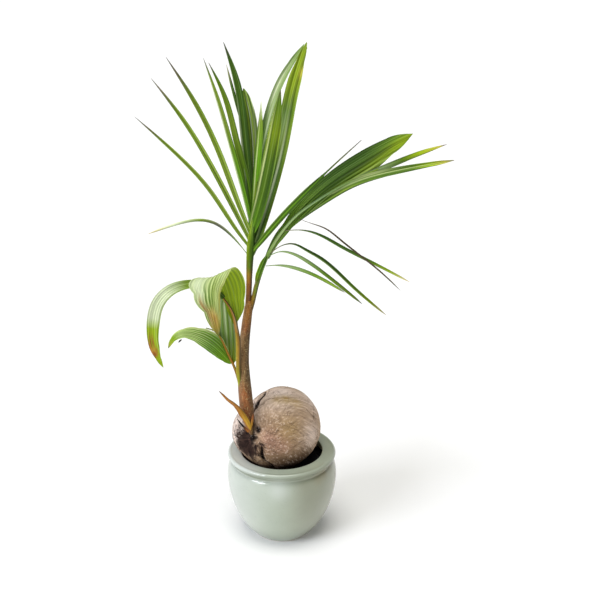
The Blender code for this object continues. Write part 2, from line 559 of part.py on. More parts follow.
def build_right_frond(surfaces):
    """The right frond: its rib, the fused upper half, the lower half, and the leaflets that droop from it."""
    leaf = surfaces["leaf"]
    frond, *pieces = right_frond_pieces(leaf)
    boolean(frond, pieces, "UNION")
    frond.name = "frond_right"
    for name, (places, width) in DROOPING_LEAFLETS.items():
        surface = surfaces["dry"] if name == DRY_LEAFLET else leaf
        leaflet = blade(name, places, leaflet_widths(width), surface, count=11)
        rooms = right_frond_pieces(leaf, 2 * CLEARANCE)
        boolean(leaflet, rooms, "DIFFERENCE")


def build_left_leaves(surfaces):
    """The two older leaves, each undivided and forked at its tip."""
    pale = surfaces["pale_leaf"]
    near = {"across": NEAR_LOBE_ACROSS, "fold": 0.0, "pleats": 3}
    far = {"fold": 0.0, "pleats": 1}
    start = UPPER_STALK_END + CLEARANCE / length_of(UPPER_RIB)
    base = limb("leaf_upper", UPPER_RIB, UPPER_RADII, pale, start=start, sides=8, count=6)
    pieces = [
        blade("rising", NEAR_LOBE, NEAR_LOBE_WIDTHS, pale, end=NEAR_LOBE_FOLD, count=8, **near),
        blade("arch", FAR_LOBE, FAR_LOBE_WIDTHS, pale, end=FAR_LOBE_BEND, count=7, **far),
    ]
    boolean(base, pieces, "UNION")
    start = NEAR_LOBE_FOLD + CLEARANCE / length_of(NEAR_LOBE)
    blade("leaf_upper_near_lobe", NEAR_LOBE, NEAR_LOBE_WIDTHS, pale, start=start, count=9, **near)
    start = FAR_LOBE_BEND + CLEARANCE / length_of(FAR_LOBE)
    blade("leaf_upper_far_lobe", FAR_LOBE, FAR_LOBE_WIDTHS, pale, start=start, count=9, **far)
    start = LOWER_STALK_END + CLEARANCE / length_of(LOWER_RIB)
    lower = limb("leaf_lower", LOWER_RIB, LOWER_RADII, pale, start=start, count=6, sides=8)
    pieces = [
        blade("left", LOW_LEFT_LOBE, LOW_LEFT_WIDTHS, pale, count=9, fold=0.0, pleats=2),
        blade("right", LOW_RIGHT_LOBE, LOW_RIGHT_WIDTHS, pale, count=8, fold=0.0, pleats=2),
    ]
    boolean(lower, pieces, "UNION")


def main():
    """Builds the whole plant and its pot."""
    clear_scene()
    surfaces = {
        "bark": material("young_bark", (0.26, 0.12, 0.05), 0.7),
        "dry": material("dry_sheath", (0.35, 0.20, 0.09), 0.8),
        "stalk": material("stalk", (0.22, 0.15, 0.03), 0.55),
        "leaf": material("leaf", (0.11, 0.22, 0.03), 0.45),
        "pale_leaf": material("pale_leaf", (0.26, 0.38, 0.08), 0.4),
    }
    build_pot()
    build_nut_and_soil()
    build_shoot(surfaces)
    build_stalks(surfaces)
    build_upright_frond(surfaces)
    build_lone_leaflet(surfaces)
    build_right_frond(surfaces)
    build_left_leaves(surfaces)


main()
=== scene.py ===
"""The looks of a young coconut palm, which grows from its whole nut in a round celadon pot.

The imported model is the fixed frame, in metres, with +Z up and the front at -Y. The pieces here stand for its
nodes or beside them: they follow the same places and sizes, and add pleats, veins, fibres, crumbs and glaze.
A surface is a grid of points worked out with numpy. Each point carries two attributes that the finishes read:
tint, the colour of that place, and grain, its position across and along the fibres.
"""

import logging
from dataclasses import dataclass, field
from enum import Enum

import bmesh
import bpy
import numpy as np
from mathutils import Matrix


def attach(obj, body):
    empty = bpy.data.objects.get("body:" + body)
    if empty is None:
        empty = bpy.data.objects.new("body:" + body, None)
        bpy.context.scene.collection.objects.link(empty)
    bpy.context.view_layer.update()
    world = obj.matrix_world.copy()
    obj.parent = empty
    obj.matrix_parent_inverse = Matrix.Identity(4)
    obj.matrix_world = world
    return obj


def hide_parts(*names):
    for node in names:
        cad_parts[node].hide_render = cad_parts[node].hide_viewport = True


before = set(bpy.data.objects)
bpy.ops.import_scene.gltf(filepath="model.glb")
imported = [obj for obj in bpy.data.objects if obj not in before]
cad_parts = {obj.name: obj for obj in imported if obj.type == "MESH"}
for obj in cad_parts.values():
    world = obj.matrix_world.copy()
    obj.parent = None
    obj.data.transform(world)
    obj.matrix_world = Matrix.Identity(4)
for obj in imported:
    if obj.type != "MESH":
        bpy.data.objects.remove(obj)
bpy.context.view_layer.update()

log = logging.getLogger("coconut_palm")

Place = tuple[float, float, float]
Rows = tuple[tuple[float, ...], ...]
FRONT = (0.0, -1.0, 0.35)  # what most blades face
WELD = 2e-6  # points of a mesh that are nearer than this become one
SLIVER = 1e-7  # edges of a mesh that are shorter than this go
PLEAT_EDGE = 0.94  # how sharp the pleats are, where 1 is a plain zigzag
LINE_WEIGHT = 0.85  # how strongly the margins and the middle line of a blade show
RIDGE_WIDTH = 0.0011  # half width of the ridge along a blade
RIDGE_BLADE = 0.006  # blades that are narrower than this have a lower ridge
BACK_WEIGHT = 0.22  # how much paler the back of a blade is
STREAK_NOISE = (0.36, 0.64)  # the noise over which a streak goes from dark to light
GLEAM_NOISE = (0.55, 0.64)  # the noise over which the gleam sets in
SPECK_EDGE = 0.08  # the noise over which a speck sets in
ROUGH_SWING = 0.16  # how much the clouds change the roughness


class Tone(Enum):
    """The colours of the plant and its pot, as red, green and blue on a screen from 0 to 255.

    Some of them are painted light and shade, as the comments beside them say.
    """

    LEAF = (86, 118, 26)
    DEEP = (56, 86, 24)
    FRESH = (98, 148, 24)
    OLIVE = (114, 138, 42)
    LIME = (130, 152, 24)
    SPRING = (154, 180, 24)
    BACK = (122, 144, 90)
    BLUISH = (112, 142, 92)
    # painted sheen: light off the waxy leaves, over their own waxy paleness
    SHEEN = (212, 222, 184)
    # pale cream: pale lines on the leaflets, and painted sheen on the lobes of the left leaves
    CREAM = (208, 220, 150)
    YELLOW = (184, 176, 62)
    AMBER = (204, 150, 60)
    RUST = (156, 96, 40)
    STRAW = (198, 180, 124)
    WITHERED = (122, 112, 88)
    DARK_TIP = (84, 74, 56)
    PETIOLE = (148, 114, 38)
    OCHRE = (158, 112, 34)
    BARK = (124, 94, 58)
    BARK_RED = (140, 84, 46)
    BARK_DARK = (64, 54, 36)
    SHEATH = (190, 146, 46)
    SPIKE = (158, 106, 48)
    TAN = (166, 138, 108)
    PINKISH = (230, 212, 200)
    GOLDEN = (158, 132, 84)
    ROSE = (172, 132, 114)
    HAIR = (26, 19, 21)
    # near black: dry tips, and painted shade in the husk's cracks and pit
    CREVICE = (22, 16, 14)
    DRY_GREY = (98, 96, 84)
    # dark brown: painted shade on the nut, and the dark of its fibres and worn places and of specks in the
    # soil
    SHADE = (100, 78, 58)
    # near-black soil: its own dark colour, deepened by painted shade inside the pot's mouth
    EARTH = (26, 26, 30)
    CELADON = (166, 176, 158)
    # darker glaze: pooled in specks and in the groove, painted shade under and on the side of the rim, and the
    # darker foot
    POOLED_GLAZE_AND_PAINTED_SHADE = (118, 126, 104)
    # paler glaze: thin on the lip, painted light on the left of the pot and of its rim, and a painted sheen
    THIN_GLAZE_AND_PAINTED_LIGHT = (202, 209, 203)
    # olive: painted shade on the right of the pot, and a painted reflection below the rim
    PAINTED_OLIVE_SHADE_AND_REFLECTION = (140, 144, 122)
    # olive-brown painted reflections on the glaze under the rim
    PAINTED_REFLECTION = (130, 120, 82)
    CLAY = (206, 196, 176)

    @property
    def light(self) -> np.ndarray:
        """The colour as amounts of light."""
        screen = np.array(self.value, float) / 255
        return np.where(screen <= 0.04045, screen / 12.92, ((screen + 0.055) / 1.055) ** 2.4)


Tones = tuple[tuple[float, Tone], ...]


def unit(vectors: np.ndarray) -> np.ndarray:
    """The vectors at length 1."""
    return vectors / np.linalg.norm(vectors, axis=-1, keepdims=True)


def circle(count: int) -> np.ndarray:
    """Turns round a whole circle in even steps, in radians."""
    return np.linspace(0, 2 * np.pi, count, endpoint=False)


def ease(values: np.ndarray, low: float, high: float) -> np.ndarray:
    """Goes smoothly from 0 at low to 1 at high: 3x^2 - 2x^3, where x is how far the value has come."""
    x = np.clip((np.asarray(values) - low) / (high - low), 0, 1)
    return x * x * (3 - 2 * x)


def bell(values: np.ndarray, middle: float, width: float) -> np.ndarray:
    """A hump of height 1 at the middle: exp of minus the square of the distance over the width."""
    return np.exp(-(((np.asarray(values) - middle) / width) ** 2))


def blended(colour: np.ndarray, tone: Tone, weight: np.ndarray) -> np.ndarray:
    """The colour with that weight of the tone mixed in."""
    weight = np.clip(weight, 0, 1)[..., None]
    return colour * (1 - weight) + tone.light * weight


def between(shares: np.ndarray, knots: np.ndarray, values: np.ndarray) -> np.ndarray:
    """Every column of the values at each share, on straight lines between the knots."""
    return np.stack([np.interp(shares, knots, column) for column in np.asarray(values).T], axis=-1)


def read(shares: np.ndarray, rows: Rows, column: int = 1) -> np.ndarray:
    """One column of rows (share, value, ...) at each share, on straight lines between the rows."""
    table = np.asarray(rows, float)
    return np.interp(shares, table[:, 0], table[:, column])[:, None]


def toned(shares: np.ndarray, tones: Tones) -> np.ndarray:
    """The colour at each share, mixed evenly between one tone and the next."""
    return between(shares, np.array([row[0] for row in tones]), np.array([row[1].light for row in tones]))


def at(shares: np.ndarray, rows: Rows, column: int) -> np.ndarray:
    """Reads one column of rows (share, value, ...) at each share, on soft steps.

    Between two rows the value follows a quarter of a sine wave that is level at the greater of the two.

    Args:
        shares: where to read, from 0 to 1.
        rows: the rows, in order of their shares.
        column: which value of a row to read.

    Returns:
        One value for each share.
    """
    table = np.asarray(rows, float)
    cell = np.clip(np.searchsorted(table[:, 0], shares, side="right") - 1, 0, len(table) - 2)
    part = (shares - table[cell, 0]) / (table[cell + 1, 0] - table[cell, 0])
    before, after = table[cell, column], table[cell + 1, column]
    part = np.where(after > before, np.sin(part * np.pi / 2), 1 - np.cos(part * np.pi / 2))
    return before + (after - before) * part


def ripples(where: np.ndarray, wavelength: float, seed: int, waves: int = 20) -> np.ndarray:
    """Smooth random relief of about unit height.

    It is the sum of sine waves with random directions and phases, and with lengths near the wavelength.

    Args:
        where: positions, with one row of coordinates for each.
        wavelength: the usual distance from crest to crest.
        seed: what fixes the random numbers.
        waves: how many waves are added.

    Returns:
        One height for each position.
    """
    chance = np.random.default_rng(seed)
    directions = unit(chance.normal(size=(waves, where.shape[-1])))
    lengths = wavelength * chance.uniform(0.7, 1.6, waves)
    phases = chance.uniform(0, 2 * np.pi, waves)
    return np.sin(2 * np.pi * where @ (directions / lengths[:, None]).T + phases).sum(-1) / np.sqrt(waves)


@dataclass(frozen=True)
class Path:
    """A smooth curve through a few places: a natural cubic spline, read by its share of the length."""

    places: tuple[Place, ...]

    def fine(self, count: int = 600) -> np.ndarray:
        """Evenly spaced points of the spline.

        Between two places the curve is a cubic whose second derivative runs straight from one knot's bend to
        the next one's, and the bends make the slopes agree at each knot and are nothing at the two ends.

        Args:
            count: how many points to work out.

        Returns:
            The points, one in each row.
        """
        places = np.asarray(self.places, float)
        gaps = np.linalg.norm(np.diff(places, axis=0), axis=1)
        knots = np.concatenate([[0.0], np.cumsum(gaps)])
        inner = np.arange(1, len(places) - 1)
        matrix = np.eye(len(places))
        matrix[inner, inner - 1], matrix[inner, inner + 1] = gaps[:-1], gaps[1:]
        matrix[inner, inner] = 2 * (gaps[:-1] + gaps[1:])
        change = np.zeros_like(places)
        change[1:-1] = 6 * np.diff(np.diff(places, axis=0) / gaps[:, None], axis=0)
        bends = np.linalg.solve(matrix, change)
        step = np.linspace(0, knots[-1], count)
        cell = np.clip(np.searchsorted(knots, step) - 1, 0, len(places) - 2)
        gap = gaps[cell][:, None]
        before, after = (step - knots[cell])[:, None], (knots[cell + 1] - step)[:, None]
        curve = (bends[cell] * after**3 + bends[cell + 1] * before**3) / (6 * gap)
        curve += (places[cell] / gap - bends[cell] * gap / 6) * after
        curve += (places[cell + 1] / gap - bends[cell + 1] * gap / 6) * before
        run = np.concatenate([[0.0], np.cumsum(np.linalg.norm(np.diff(curve, axis=0), axis=1))])
        return between(np.linspace(0, run[-1], count), run, curve)

    @property
    def length(self) -> float:
        """Length of the curve."""
        return float(np.linalg.norm(np.diff(self.fine(), axis=0), axis=1).sum())

    def stretch(self, start: float, end: float, count: int) -> tuple[np.ndarray, np.ndarray, np.ndarray]:
        """The curve between two shares of its length.

        Args:
            start: the share where the stretch begins.
            end: the share where it ends.
            count: how many points to read.

        Returns:
            The points, the directions of the curve there, and the shares.
        """
        whole = self.fine()
        along = unit(np.gradient(whole, axis=0))
        wanted, share = np.linspace(start, end, count), np.linspace(0, 1, len(whole))
        return between(wanted, share, whole), unit(between(wanted, share, along)), wanted

    def at_height(self, height: float) -> Place:
        """The place on the curve at that height."""
        curve = self.fine()
        return tuple(curve[np.argmin(np.abs(curve[:, 2] - height))])


def walls(rings: int, sides: int) -> np.ndarray:
    """The four-sided faces between neighbouring rings, by the numbers of their points.

    Args:
        rings: how many rings there are.
        sides: how many points each ring has.

    Returns:
        One row of four numbers for each face.
    """
    i, j = (part.ravel() for part in np.meshgrid(np.arange(rings - 1), np.arange(sides), indexing="ij"))
    k = (j + 1) % sides
    return np.stack([i * sides + j, i * sides + k, (i + 1) * sides + k, (i + 1) * sides + j], axis=-1)


@dataclass
class Skin:
    """A closed surface: its points and faces, with the tint and the grain at each point."""

    points: np.ndarray
    faces: list[list[int]]
    tint: np.ndarray
    grain: np.ndarray

    @classmethod
    def over(cls, rings: np.ndarray, tint: np.ndarray, grain: np.ndarray) -> "Skin":
        """The closed skin over a row of rings, where each end ring is filled by a fan from its middle.

        Args:
            rings: points, by ring and by place round the ring.
            tint: a colour for each point.
            grain: a grain position for each point.

        Returns:
            The skin.
        """
        rows, sides = rings.shape[:2]
        turn = np.arange(sides)
        after, last = (turn + 1) % sides, (rows - 1) * sides
        low = np.stack([after, turn, np.full(sides, rows * sides)], axis=-1)
        high = np.stack([last + turn, last + after, np.full(sides, rows * sides + 1)], axis=-1)

        def flat(values: np.ndarray) -> np.ndarray:
            """The values in one row, followed by the middle value of each end ring."""
            return np.concatenate([values.reshape(-1, 3), values[[0, -1]].mean(axis=1)])

        faces = walls(rows, sides).tolist() + low.tolist() + high.tolist()
        return cls(flat(rings), faces, flat(np.broadcast_to(tint, rings.shape)), flat(grain))


class Wiring:
    """Adds nodes to one material and links them."""

    def __init__(self, name: str) -> None:
        """Starts a material.

        Args:
            name: the material's name.
        """
        self.material = bpy.data.materials.new(name)
        self.material.use_nodes = True
        self.tree = self.material.node_tree
        self.shader = self.tree.nodes["Principled BSDF"]

    def add(self, kind: str, inputs: dict[str | int, object], output: str | int = 0, **settings: object
            ) -> bpy.types.NodeSocket:
        """Adds a node.

        Args:
            kind: the node's type, without what all shader nodes' types begin with.
            inputs: a value or an output to link, for each input by name or number.
            output: the name or number of the output that is wanted.
            settings: the node's own settings.

        Returns:
            The wanted output.
        """
        node = self.tree.nodes.new(f"ShaderNode{kind}")
        for name, value in settings.items():
            setattr(node, name, value)
        self.fill(node, inputs)
        return node.outputs[output]

    def fill(self, node: bpy.types.Node, inputs: dict[str | int, object]) -> None:
        """Links inputs of a node to outputs, or sets their values.

        Args:
            node: the node.
            inputs: a value or an output to link, for each input by name or number.
        """
        for name, value in inputs.items():
            if isinstance(value, bpy.types.NodeSocket):
                self.tree.links.new(value, node.inputs[name])
            else:
                node.inputs[name].default_value = value

    def sum_of(self, first: object, second: object, scale: float = 1.0) -> bpy.types.NodeSocket:
        """The second value times the scale, added to the first."""
        return self.add("Math", {0: second, 1: scale, 2: first}, operation="MULTIPLY_ADD")

    def mixed(self, colour: object, tone: Tone, weight: object) -> bpy.types.NodeSocket:
        """The colour with that weight of the tone mixed in."""
        return self.add("Mix", {0: weight, 6: colour, 7: (*tone.light, 1.0)}, 2, data_type="RGBA")


@dataclass(frozen=True)
class Finish:
    """A finish: the piece's tint, made lighter and darker by streaks along its grain and by clouds.

    Attributes:
        name: the material's name.
        slot: the record's material slot; not used.
        roughness: of the surface, from 0 to 1.
        specular: how strongly it reflects.
        coat: weight of a clear layer over it, and that layer's roughness.
        streak: how much the streaks change the brightness.
        streak_count: streaks per metre across and along the grain.
        gleam: the tone of the lightest streaks, and how much of it shows.
        cloud: how much the clouds change the brightness, and clouds per metre.
        speckle: the tone of small specks, how much of it shows, specks per metre and the share left bare.
        relief: height of the streaks' relief in metres, and of a fine roughness with its count per metre.
    """

    name: str
    slot: str
    roughness: float
    specular: float = 0.5
    coat: tuple[float, float] = (0.0, 0.1)
    streak: float = 0.0
    streak_count: tuple[float, float] = (900.0, 12.0)
    gleam: tuple[Tone, float] | None = None
    cloud: tuple[float, float] = (0.15, 30.0)
    speckle: tuple[Tone, float, float, float] | None = None
    relief: tuple[float, float, float] = (0.0002, 0.0, 1000.0)

    def made(self) -> bpy.types.Material:
        """Makes the material of this finish at its first use.

        The brightness is 1 plus the streaks' and the clouds' noise about its middle, times their weights.

        Returns:
            The material.
        """
        found = bpy.data.materials.get(self.name)
        if found:
            return found
        wiring = Wiring(self.name)
        where = wiring.add("TexCoord", {}, "Object")
        tint = wiring.add("Attribute", {}, "Color", attribute_name="tint")
        grain = wiring.add("Attribute", {}, "Vector", attribute_name="grain")
        across, along = self.streak_count
        stretched = wiring.add("VectorMath", {0: grain, 1: (across, across, along)}, operation="MULTIPLY")
        noise = wiring.add("TexNoise", {"Vector": stretched, "Scale": 1.0, "Detail": 3.0, "Roughness": 0.6})
        streaks = wiring.add("MapRange", {"Value": noise, "From Min": STREAK_NOISE[0],
                                          "From Max": STREAK_NOISE[1]})
        clouds = wiring.add("TexNoise", {"Vector": where, "Scale": self.cloud[1], "Detail": 4.0,
                                         "Roughness": 0.55})
        bright = wiring.sum_of(1 - self.streak - self.cloud[0], streaks, 2 * self.streak)
        bright = wiring.sum_of(bright, clouds, 2 * self.cloud[0])
        colour = wiring.add("VectorMath", {0: tint, "Scale": bright}, operation="SCALE")
        if self.gleam:
            shine = wiring.add("MapRange", {"Value": noise, "From Min": GLEAM_NOISE[0],
                                            "From Max": GLEAM_NOISE[1], "To Max": self.gleam[1]})
            colour = wiring.mixed(colour, self.gleam[0], shine)
        if self.speckle:
            tone, weight, count, bare = self.speckle
            specks = wiring.add("TexNoise", {"Vector": where, "Scale": count, "Detail": 1.0})
            specks = wiring.add("MapRange", {"Value": specks, "From Min": bare,
                                             "From Max": bare + SPECK_EDGE, "To Max": weight})
            colour = wiring.mixed(colour, tone, specks)
        height = wiring.sum_of(0.0, streaks, self.relief[0])
        if self.relief[1]:
            fine = wiring.add("TexNoise", {"Vector": where, "Scale": self.relief[2], "Detail": 2.0})
            height = wiring.sum_of(height, fine, self.relief[1])
        normal = wiring.add("Bump", {"Height": height, "Strength": 1.0, "Distance": 1.0})
        rough = wiring.sum_of(self.roughness - ROUGH_SWING / 2, clouds, ROUGH_SWING)
        wiring.fill(wiring.shader, {"Base Color": colour, "Normal": normal, "Roughness": rough,
                                    "Specular IOR Level": self.specular, "Coat Weight": self.coat[0],
                                    "Coat Roughness": self.coat[1]})
        return wiring.material


GLAZE = Finish("celadon_glaze", "glazed_stoneware", 0.42, 0.35, coat=(0.9, 0.05), cloud=(0.14, 16.0),
               speckle=(Tone.POOLED_GLAZE_AND_PAINTED_SHADE, 0.35, 420.0, 0.7), relief=(0.0, 0.00008, 90.0))
EARTH = Finish("potting_soil", "soil", 0.95, 0.2, cloud=(0.5, 160.0), speckle=(Tone.SHADE, 0.5, 700.0, 0.66),
               relief=(0.0, 0.0012, 500.0))
HUSK = Finish("husk_fibre", "husk", 0.86, 0.1, streak=0.17, streak_count=(290.0, 6.0), cloud=(0.2, 40.0),
              gleam=(Tone.PINKISH, 0.3), relief=(0.0003, 0.00012, 800.0))
HAIR = Finish("husk_hair", "husk", 0.8, 0.15, streak=0.1, cloud=(0.35, 120.0))
BARK = Finish("speckled_bark", "young_bark", 0.6, 0.16, streak=0.32, streak_count=(300.0, 60.0),
              cloud=(0.3, 150.0), speckle=(Tone.STRAW, 0.55, 560.0, 0.6), relief=(0.0004, 0.0003, 900.0))
SHEATH = Finish("papery_sheath", "dry_sheath", 0.6, 0.15, streak=0.28, streak_count=(450.0, 14.0),
                cloud=(0.2, 120.0), relief=(0.0003, 0.0001, 1200.0))
STALK = Finish("leaf_stalk", "stalk", 0.42, 0.12, streak=0.28, streak_count=(420.0, 14.0),
               cloud=(0.2, 140.0), speckle=(Tone.BARK_DARK, 0.45, 480.0, 0.62), relief=(0.0002, 0.0, 1000.0))
LEAF = Finish("palm_leaf", "leaf", 0.42, 0.09, streak=0.46, streak_count=(300.0, 2.0),
              gleam=(Tone.CREAM, 0.17), cloud=(0.12, 40.0), relief=(0.0002, 0.00003, 1500.0))
PALE_LEAF = Finish("pale_palm_leaf", "pale_leaf", 0.4, 0.11, streak=0.2, streak_count=(300.0, 2.5),
                   gleam=(Tone.SHEEN, 0.14), cloud=(0.1, 45.0), relief=(0.0002, 0.00003, 1500.0))


def added(name: str, data: bpy.types.ID) -> bpy.types.Object:
    """Adds an object to the scene.

    Args:
        name: the object's name.
        data: its mesh, light or camera.

    Returns:
        The object.
    """
    made = bpy.data.objects.new(name, data)
    bpy.context.scene.collection.objects.link(made)
    return made


def place(name: str, skin: Skin, finish: Finish, *nodes: str, corner: float = 50.0) -> bpy.types.Object:
    """Makes a piece of the skin, dresses it and says which nodes it stands for.

    Args:
        name: the piece's name.
        skin: its surface.
        finish: what it is dressed in.
        nodes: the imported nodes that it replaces.
        corner: the angle in degrees past which an edge stays sharp.

    Returns:
        The piece.
    """
    mesh = bpy.data.meshes.new(name)
    mesh.from_pydata(skin.points.tolist(), [], skin.faces)
    tint = mesh.attributes.new("tint", "FLOAT_COLOR", "POINT")
    tint.data.foreach_set("color", np.c_[skin.tint, np.ones(len(skin.tint))].ravel())
    grain = mesh.attributes.new("grain", "FLOAT_VECTOR", "POINT")
    grain.data.foreach_set("vector", np.asarray(skin.grain).ravel())
    work = bmesh.new()
    work.from_mesh(mesh)
    bmesh.ops.remove_doubles(work, verts=work.verts, dist=WELD)
    bmesh.ops.dissolve_degenerate(work, edges=work.edges, dist=SLIVER)
    bmesh.ops.recalc_face_normals(work, faces=work.faces)
    work.to_mesh(mesh)
    work.free()
    mesh.shade_smooth()
    mesh.set_sharp_from_angle(angle=np.radians(corner))
    mesh.materials.append(finish.made())
    piece = added(name, mesh)
    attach(piece, "root")
    if nodes:
        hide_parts(*nodes)
    log.info("%s: %d points, stands for %s", name, len(mesh.vertices),
             ", ".join(nodes) or "no node of its own")
    return piece


@dataclass(frozen=True)
class Patch:
    """A soft oval on a blade with a tone of its own, by share of the length and of the half width."""

    share: float
    side: float
    length: float
    width: float
    tone: Tone
    weight: float = 0.8


@dataclass(frozen=True)
class Colouring:
    """How a blade is coloured.

    Attributes:
        along: tones by share of the length.
        left: tone of the left margin.
        right: tone of the right margin.
        margin: how far in the margins reach, as a share of the half width.
        rib: tone of the line along the middle.
        rib_width: how wide that line is, as a share of the half width.
        valley: tone of the valleys between the pleats, and how strongly it shows at the foot and at the tip.
            It
        is painted shade in the folds, and painted sheen where its tone is paler than the blade.
        patches: places with a tone of their own; those in the pale sheen tone are painted sheen.
    """

    along: Tones
    left: Tone | None = None
    right: Tone | None = None
    margin: float = 0.4
    rib: Tone | None = None
    rib_width: float = 0.24
    valley: tuple[Tone, float, float] | None = None
    patches: tuple[Patch, ...] = ()

    def worked(self, share: np.ndarray, side: np.ndarray, zigzag: np.ndarray) -> np.ndarray:
        """The colour at each place of a blade.

        The tones along it are mixed with the valleys' tone by the pleats' depth, which paints shade in the
        folds, with the margins' by an ease towards the edges, with the middle line's by a bell, and with each
        patch's by a bell both ways.

        Args:
            share: share of the length, by row.
            side: place across, from -1 to 1, by column.
            zigzag: height of the pleats there, from -1 to 1.

        Returns:
            One colour for each row and column.
        """
        colour = np.broadcast_to(toned(share, self.along)[:, None], (len(share), len(side), 3))
        s, t = np.meshgrid(share, side, indexing="ij")
        # painted shade in the folds of the pleats, by their depth
        if self.valley:
            weight = self.valley[1] + (self.valley[2] - self.valley[1]) * s
            colour = blended(colour, self.valley[0], weight * (0.5 - 0.5 * zigzag))
        lines = ((self.left, ease(-t, 1 - self.margin, 1)), (self.right, ease(t, 1 - self.margin, 1)),
                 (self.rib, bell(t, 0, self.rib_width)))
        for tone, weight in lines:
            if tone:
                colour = blended(colour, tone, LINE_WEIGHT * ease(s, 1.0, 0.85) * weight)
        for patch in self.patches:
            weight = bell(s, patch.share, patch.length) * bell(t, patch.side, patch.width)
            colour = blended(colour, patch.tone, patch.weight * weight)
        return colour


def plain(*along: tuple[float, Tone], **more: object) -> Colouring:
    """A colouring by its tones along the blade and whatever else it has."""
    return Colouring(along, **more)


class Outline(Enum):
    """The outlines of leaflets: rows of share of the length, and half width as a share of the whole."""

    SLIM = ((0.0, 0.3), (0.35, 0.5), (0.65, 0.42), (1.0, 0.03))
    BROAD_FOOT = ((0.0, 0.26), (0.14, 0.46), (0.45, 0.5), (0.68, 0.44), (1.0, 0.03))
    BROAD_TIP = ((0.0, 0.3), (0.35, 0.5), (0.72, 0.5), (0.9, 0.36), (1.0, 0.04))
    LATE = ((0.0, 0.28), (0.3, 0.48), (0.74, 0.5), (0.88, 0.36), (1.0, 0.03))
    FULL = ((0.0, 0.26), (0.14, 0.46), (0.45, 0.5), (0.8, 0.45), (0.92, 0.25), (1.0, 0.03))
    WISPY = ((0.0, 0.1), (0.1, 0.14), (0.42, 0.5), (0.72, 0.46), (0.88, 0.36), (1.0, 0.04))

    def rows(self, width: float) -> Rows:
        """Rows of share, left half width and right half width for a leaflet of that width."""
        return tuple((share, part * width, part * width) for share, part in self.value)


def both(slope: float) -> Rows:
    """The same fold to the left and the right all along a blade."""
    return ((0.0, slope, slope), (1.0, slope, slope))


@dataclass(frozen=True)
class Blade:
    """A thin blade along a smooth curve, with knife edges.

    A place on it is path(s) + x across + z up, for s from 0 at its foot to 1 at its tip and t from -1 at its
    left edge to 1 at its right. There x is t times the half width on that side, and z is the fold times |x|,
    plus the pleats' rounded zigzag, plus the wave of the edges, which grows with the square of t. The two
    faces lie half a thickness to each side of that, and the thickness runs out towards the edges.

    Attributes:
        path: its middle line.
        widths: rows of share, left half width and right half width.
        colouring: how it is coloured.
        start: the share where it begins.
        end: the share where it ends.
        fold: rows of share and the slopes of the left and the right half of the V.
        pleats: whole waves of the zigzag across it.
        steep: rows of share and slope of the pleats' sides.
        twist: rows of share and turn about the path, in degrees.
        wave: height of the edges' wave, as a share of the width.
        across: direction of its width, where that isn't worked out from the front.
        thick: greatest thickness.
        rib: height of the ridge along its middle.
        grid: points along and across.
        seed: what fixes its waves.
    """

    path: Path
    widths: Rows
    colouring: Colouring
    start: float = 0.0
    end: float = 1.0
    fold: Rows = both(0.25)
    pleats: float = 0.0
    steep: Rows = ((0.0, 0.6), (0.5, 0.4), (1.0, 0.2))
    twist: Rows = ((0.0, 0.0), (1.0, 0.0))
    wave: float = 0.03
    across: Place | None = None
    thick: float = 0.0007
    rib: float = 0.0004
    grid: tuple[int, int] = (80, 13)
    seed: int = 1

    def directions(self, along: np.ndarray, share: np.ndarray) -> tuple[np.ndarray, np.ndarray]:
        """The directions of the blade's width and of its face, turned about the path by the twist.

        Args:
            along: directions of the path.
            share: share of the length at each.

        Returns:
            The directions across the blade, and up from its face.
        """
        if self.across is None:
            across = unit(np.cross(along, np.asarray(FRONT)))
        else:
            across = np.broadcast_to(self.across, along.shape)
            across = unit(across - (across * along).sum(axis=1, keepdims=True) * along)
        up = np.cross(across, along)
        turn = np.radians(read(share, self.twist))
        return across * np.cos(turn) + up * np.sin(turn), up * np.cos(turn) - across * np.sin(turn)

    def skin(self) -> Skin:
        """Works the blade out by the sum in the class's own description.

        Returns:
            The closed surface of the blade.
        """
        path, along, share = self.path.stretch(self.start, self.end, self.grid[0])
        across, up = self.directions(along, share)
        side = np.linspace(-1, 1, self.grid[1])
        left, right = at(share, self.widths, 1)[:, None], at(share, self.widths, 2)[:, None]
        x = np.where(side < 0, left, right) * side
        width = left + right
        reach = np.repeat((share * self.path.length)[:, None], len(side), axis=1)
        zigzag = np.arcsin(PLEAT_EDGE * np.cos(np.pi * self.pleats * (side + 1)))[None]
        zigzag = zigzag / np.arcsin(PLEAT_EDGE) * (self.pleats > 0)
        z = np.where(side < 0, read(share, self.fold, 1), read(share, self.fold, 2)) * np.abs(x)
        z = z + zigzag * read(share, self.steep) * width / (4 * max(self.pleats, 1))
        edge = np.stack([reach, 0.02 * np.sign(side) + 0 * reach], axis=-1)
        z = z + self.wave * width * side**2 * ripples(edge, 0.07, self.seed)
        half = 0.5 * self.thick * np.sqrt(np.clip(1 - side**4, 0, 1))
        half = half * np.minimum(1, width / (2 * self.thick))
        ridge = self.rib * bell(x, 0, RIDGE_WIDTH) * np.clip(1.1 - share, 0, 1)[:, None]
        ridge = ridge * np.minimum(1, width / RIDGE_BLADE)
        middle = path[:, None] + x[..., None] * across[:, None]
        top = middle + (z + half + ridge)[..., None] * up[:, None]
        under = middle + (z - half - ridge)[..., None] * up[:, None]
        colour = self.colouring.worked(share, side, zigzag)
        grain = np.stack([x, np.full_like(x, 0.013 * self.seed), reach], axis=-1)
        back = blended(colour, Tone.BACK, BACK_WEIGHT * np.ones_like(x))
        return Skin.over(np.concatenate([top, under[:, -2:0:-1]], axis=1),
                         np.concatenate([colour, back[:, -2:0:-1]], axis=1),
                         np.concatenate([grain, grain[:, -2:0:-1]], axis=1))


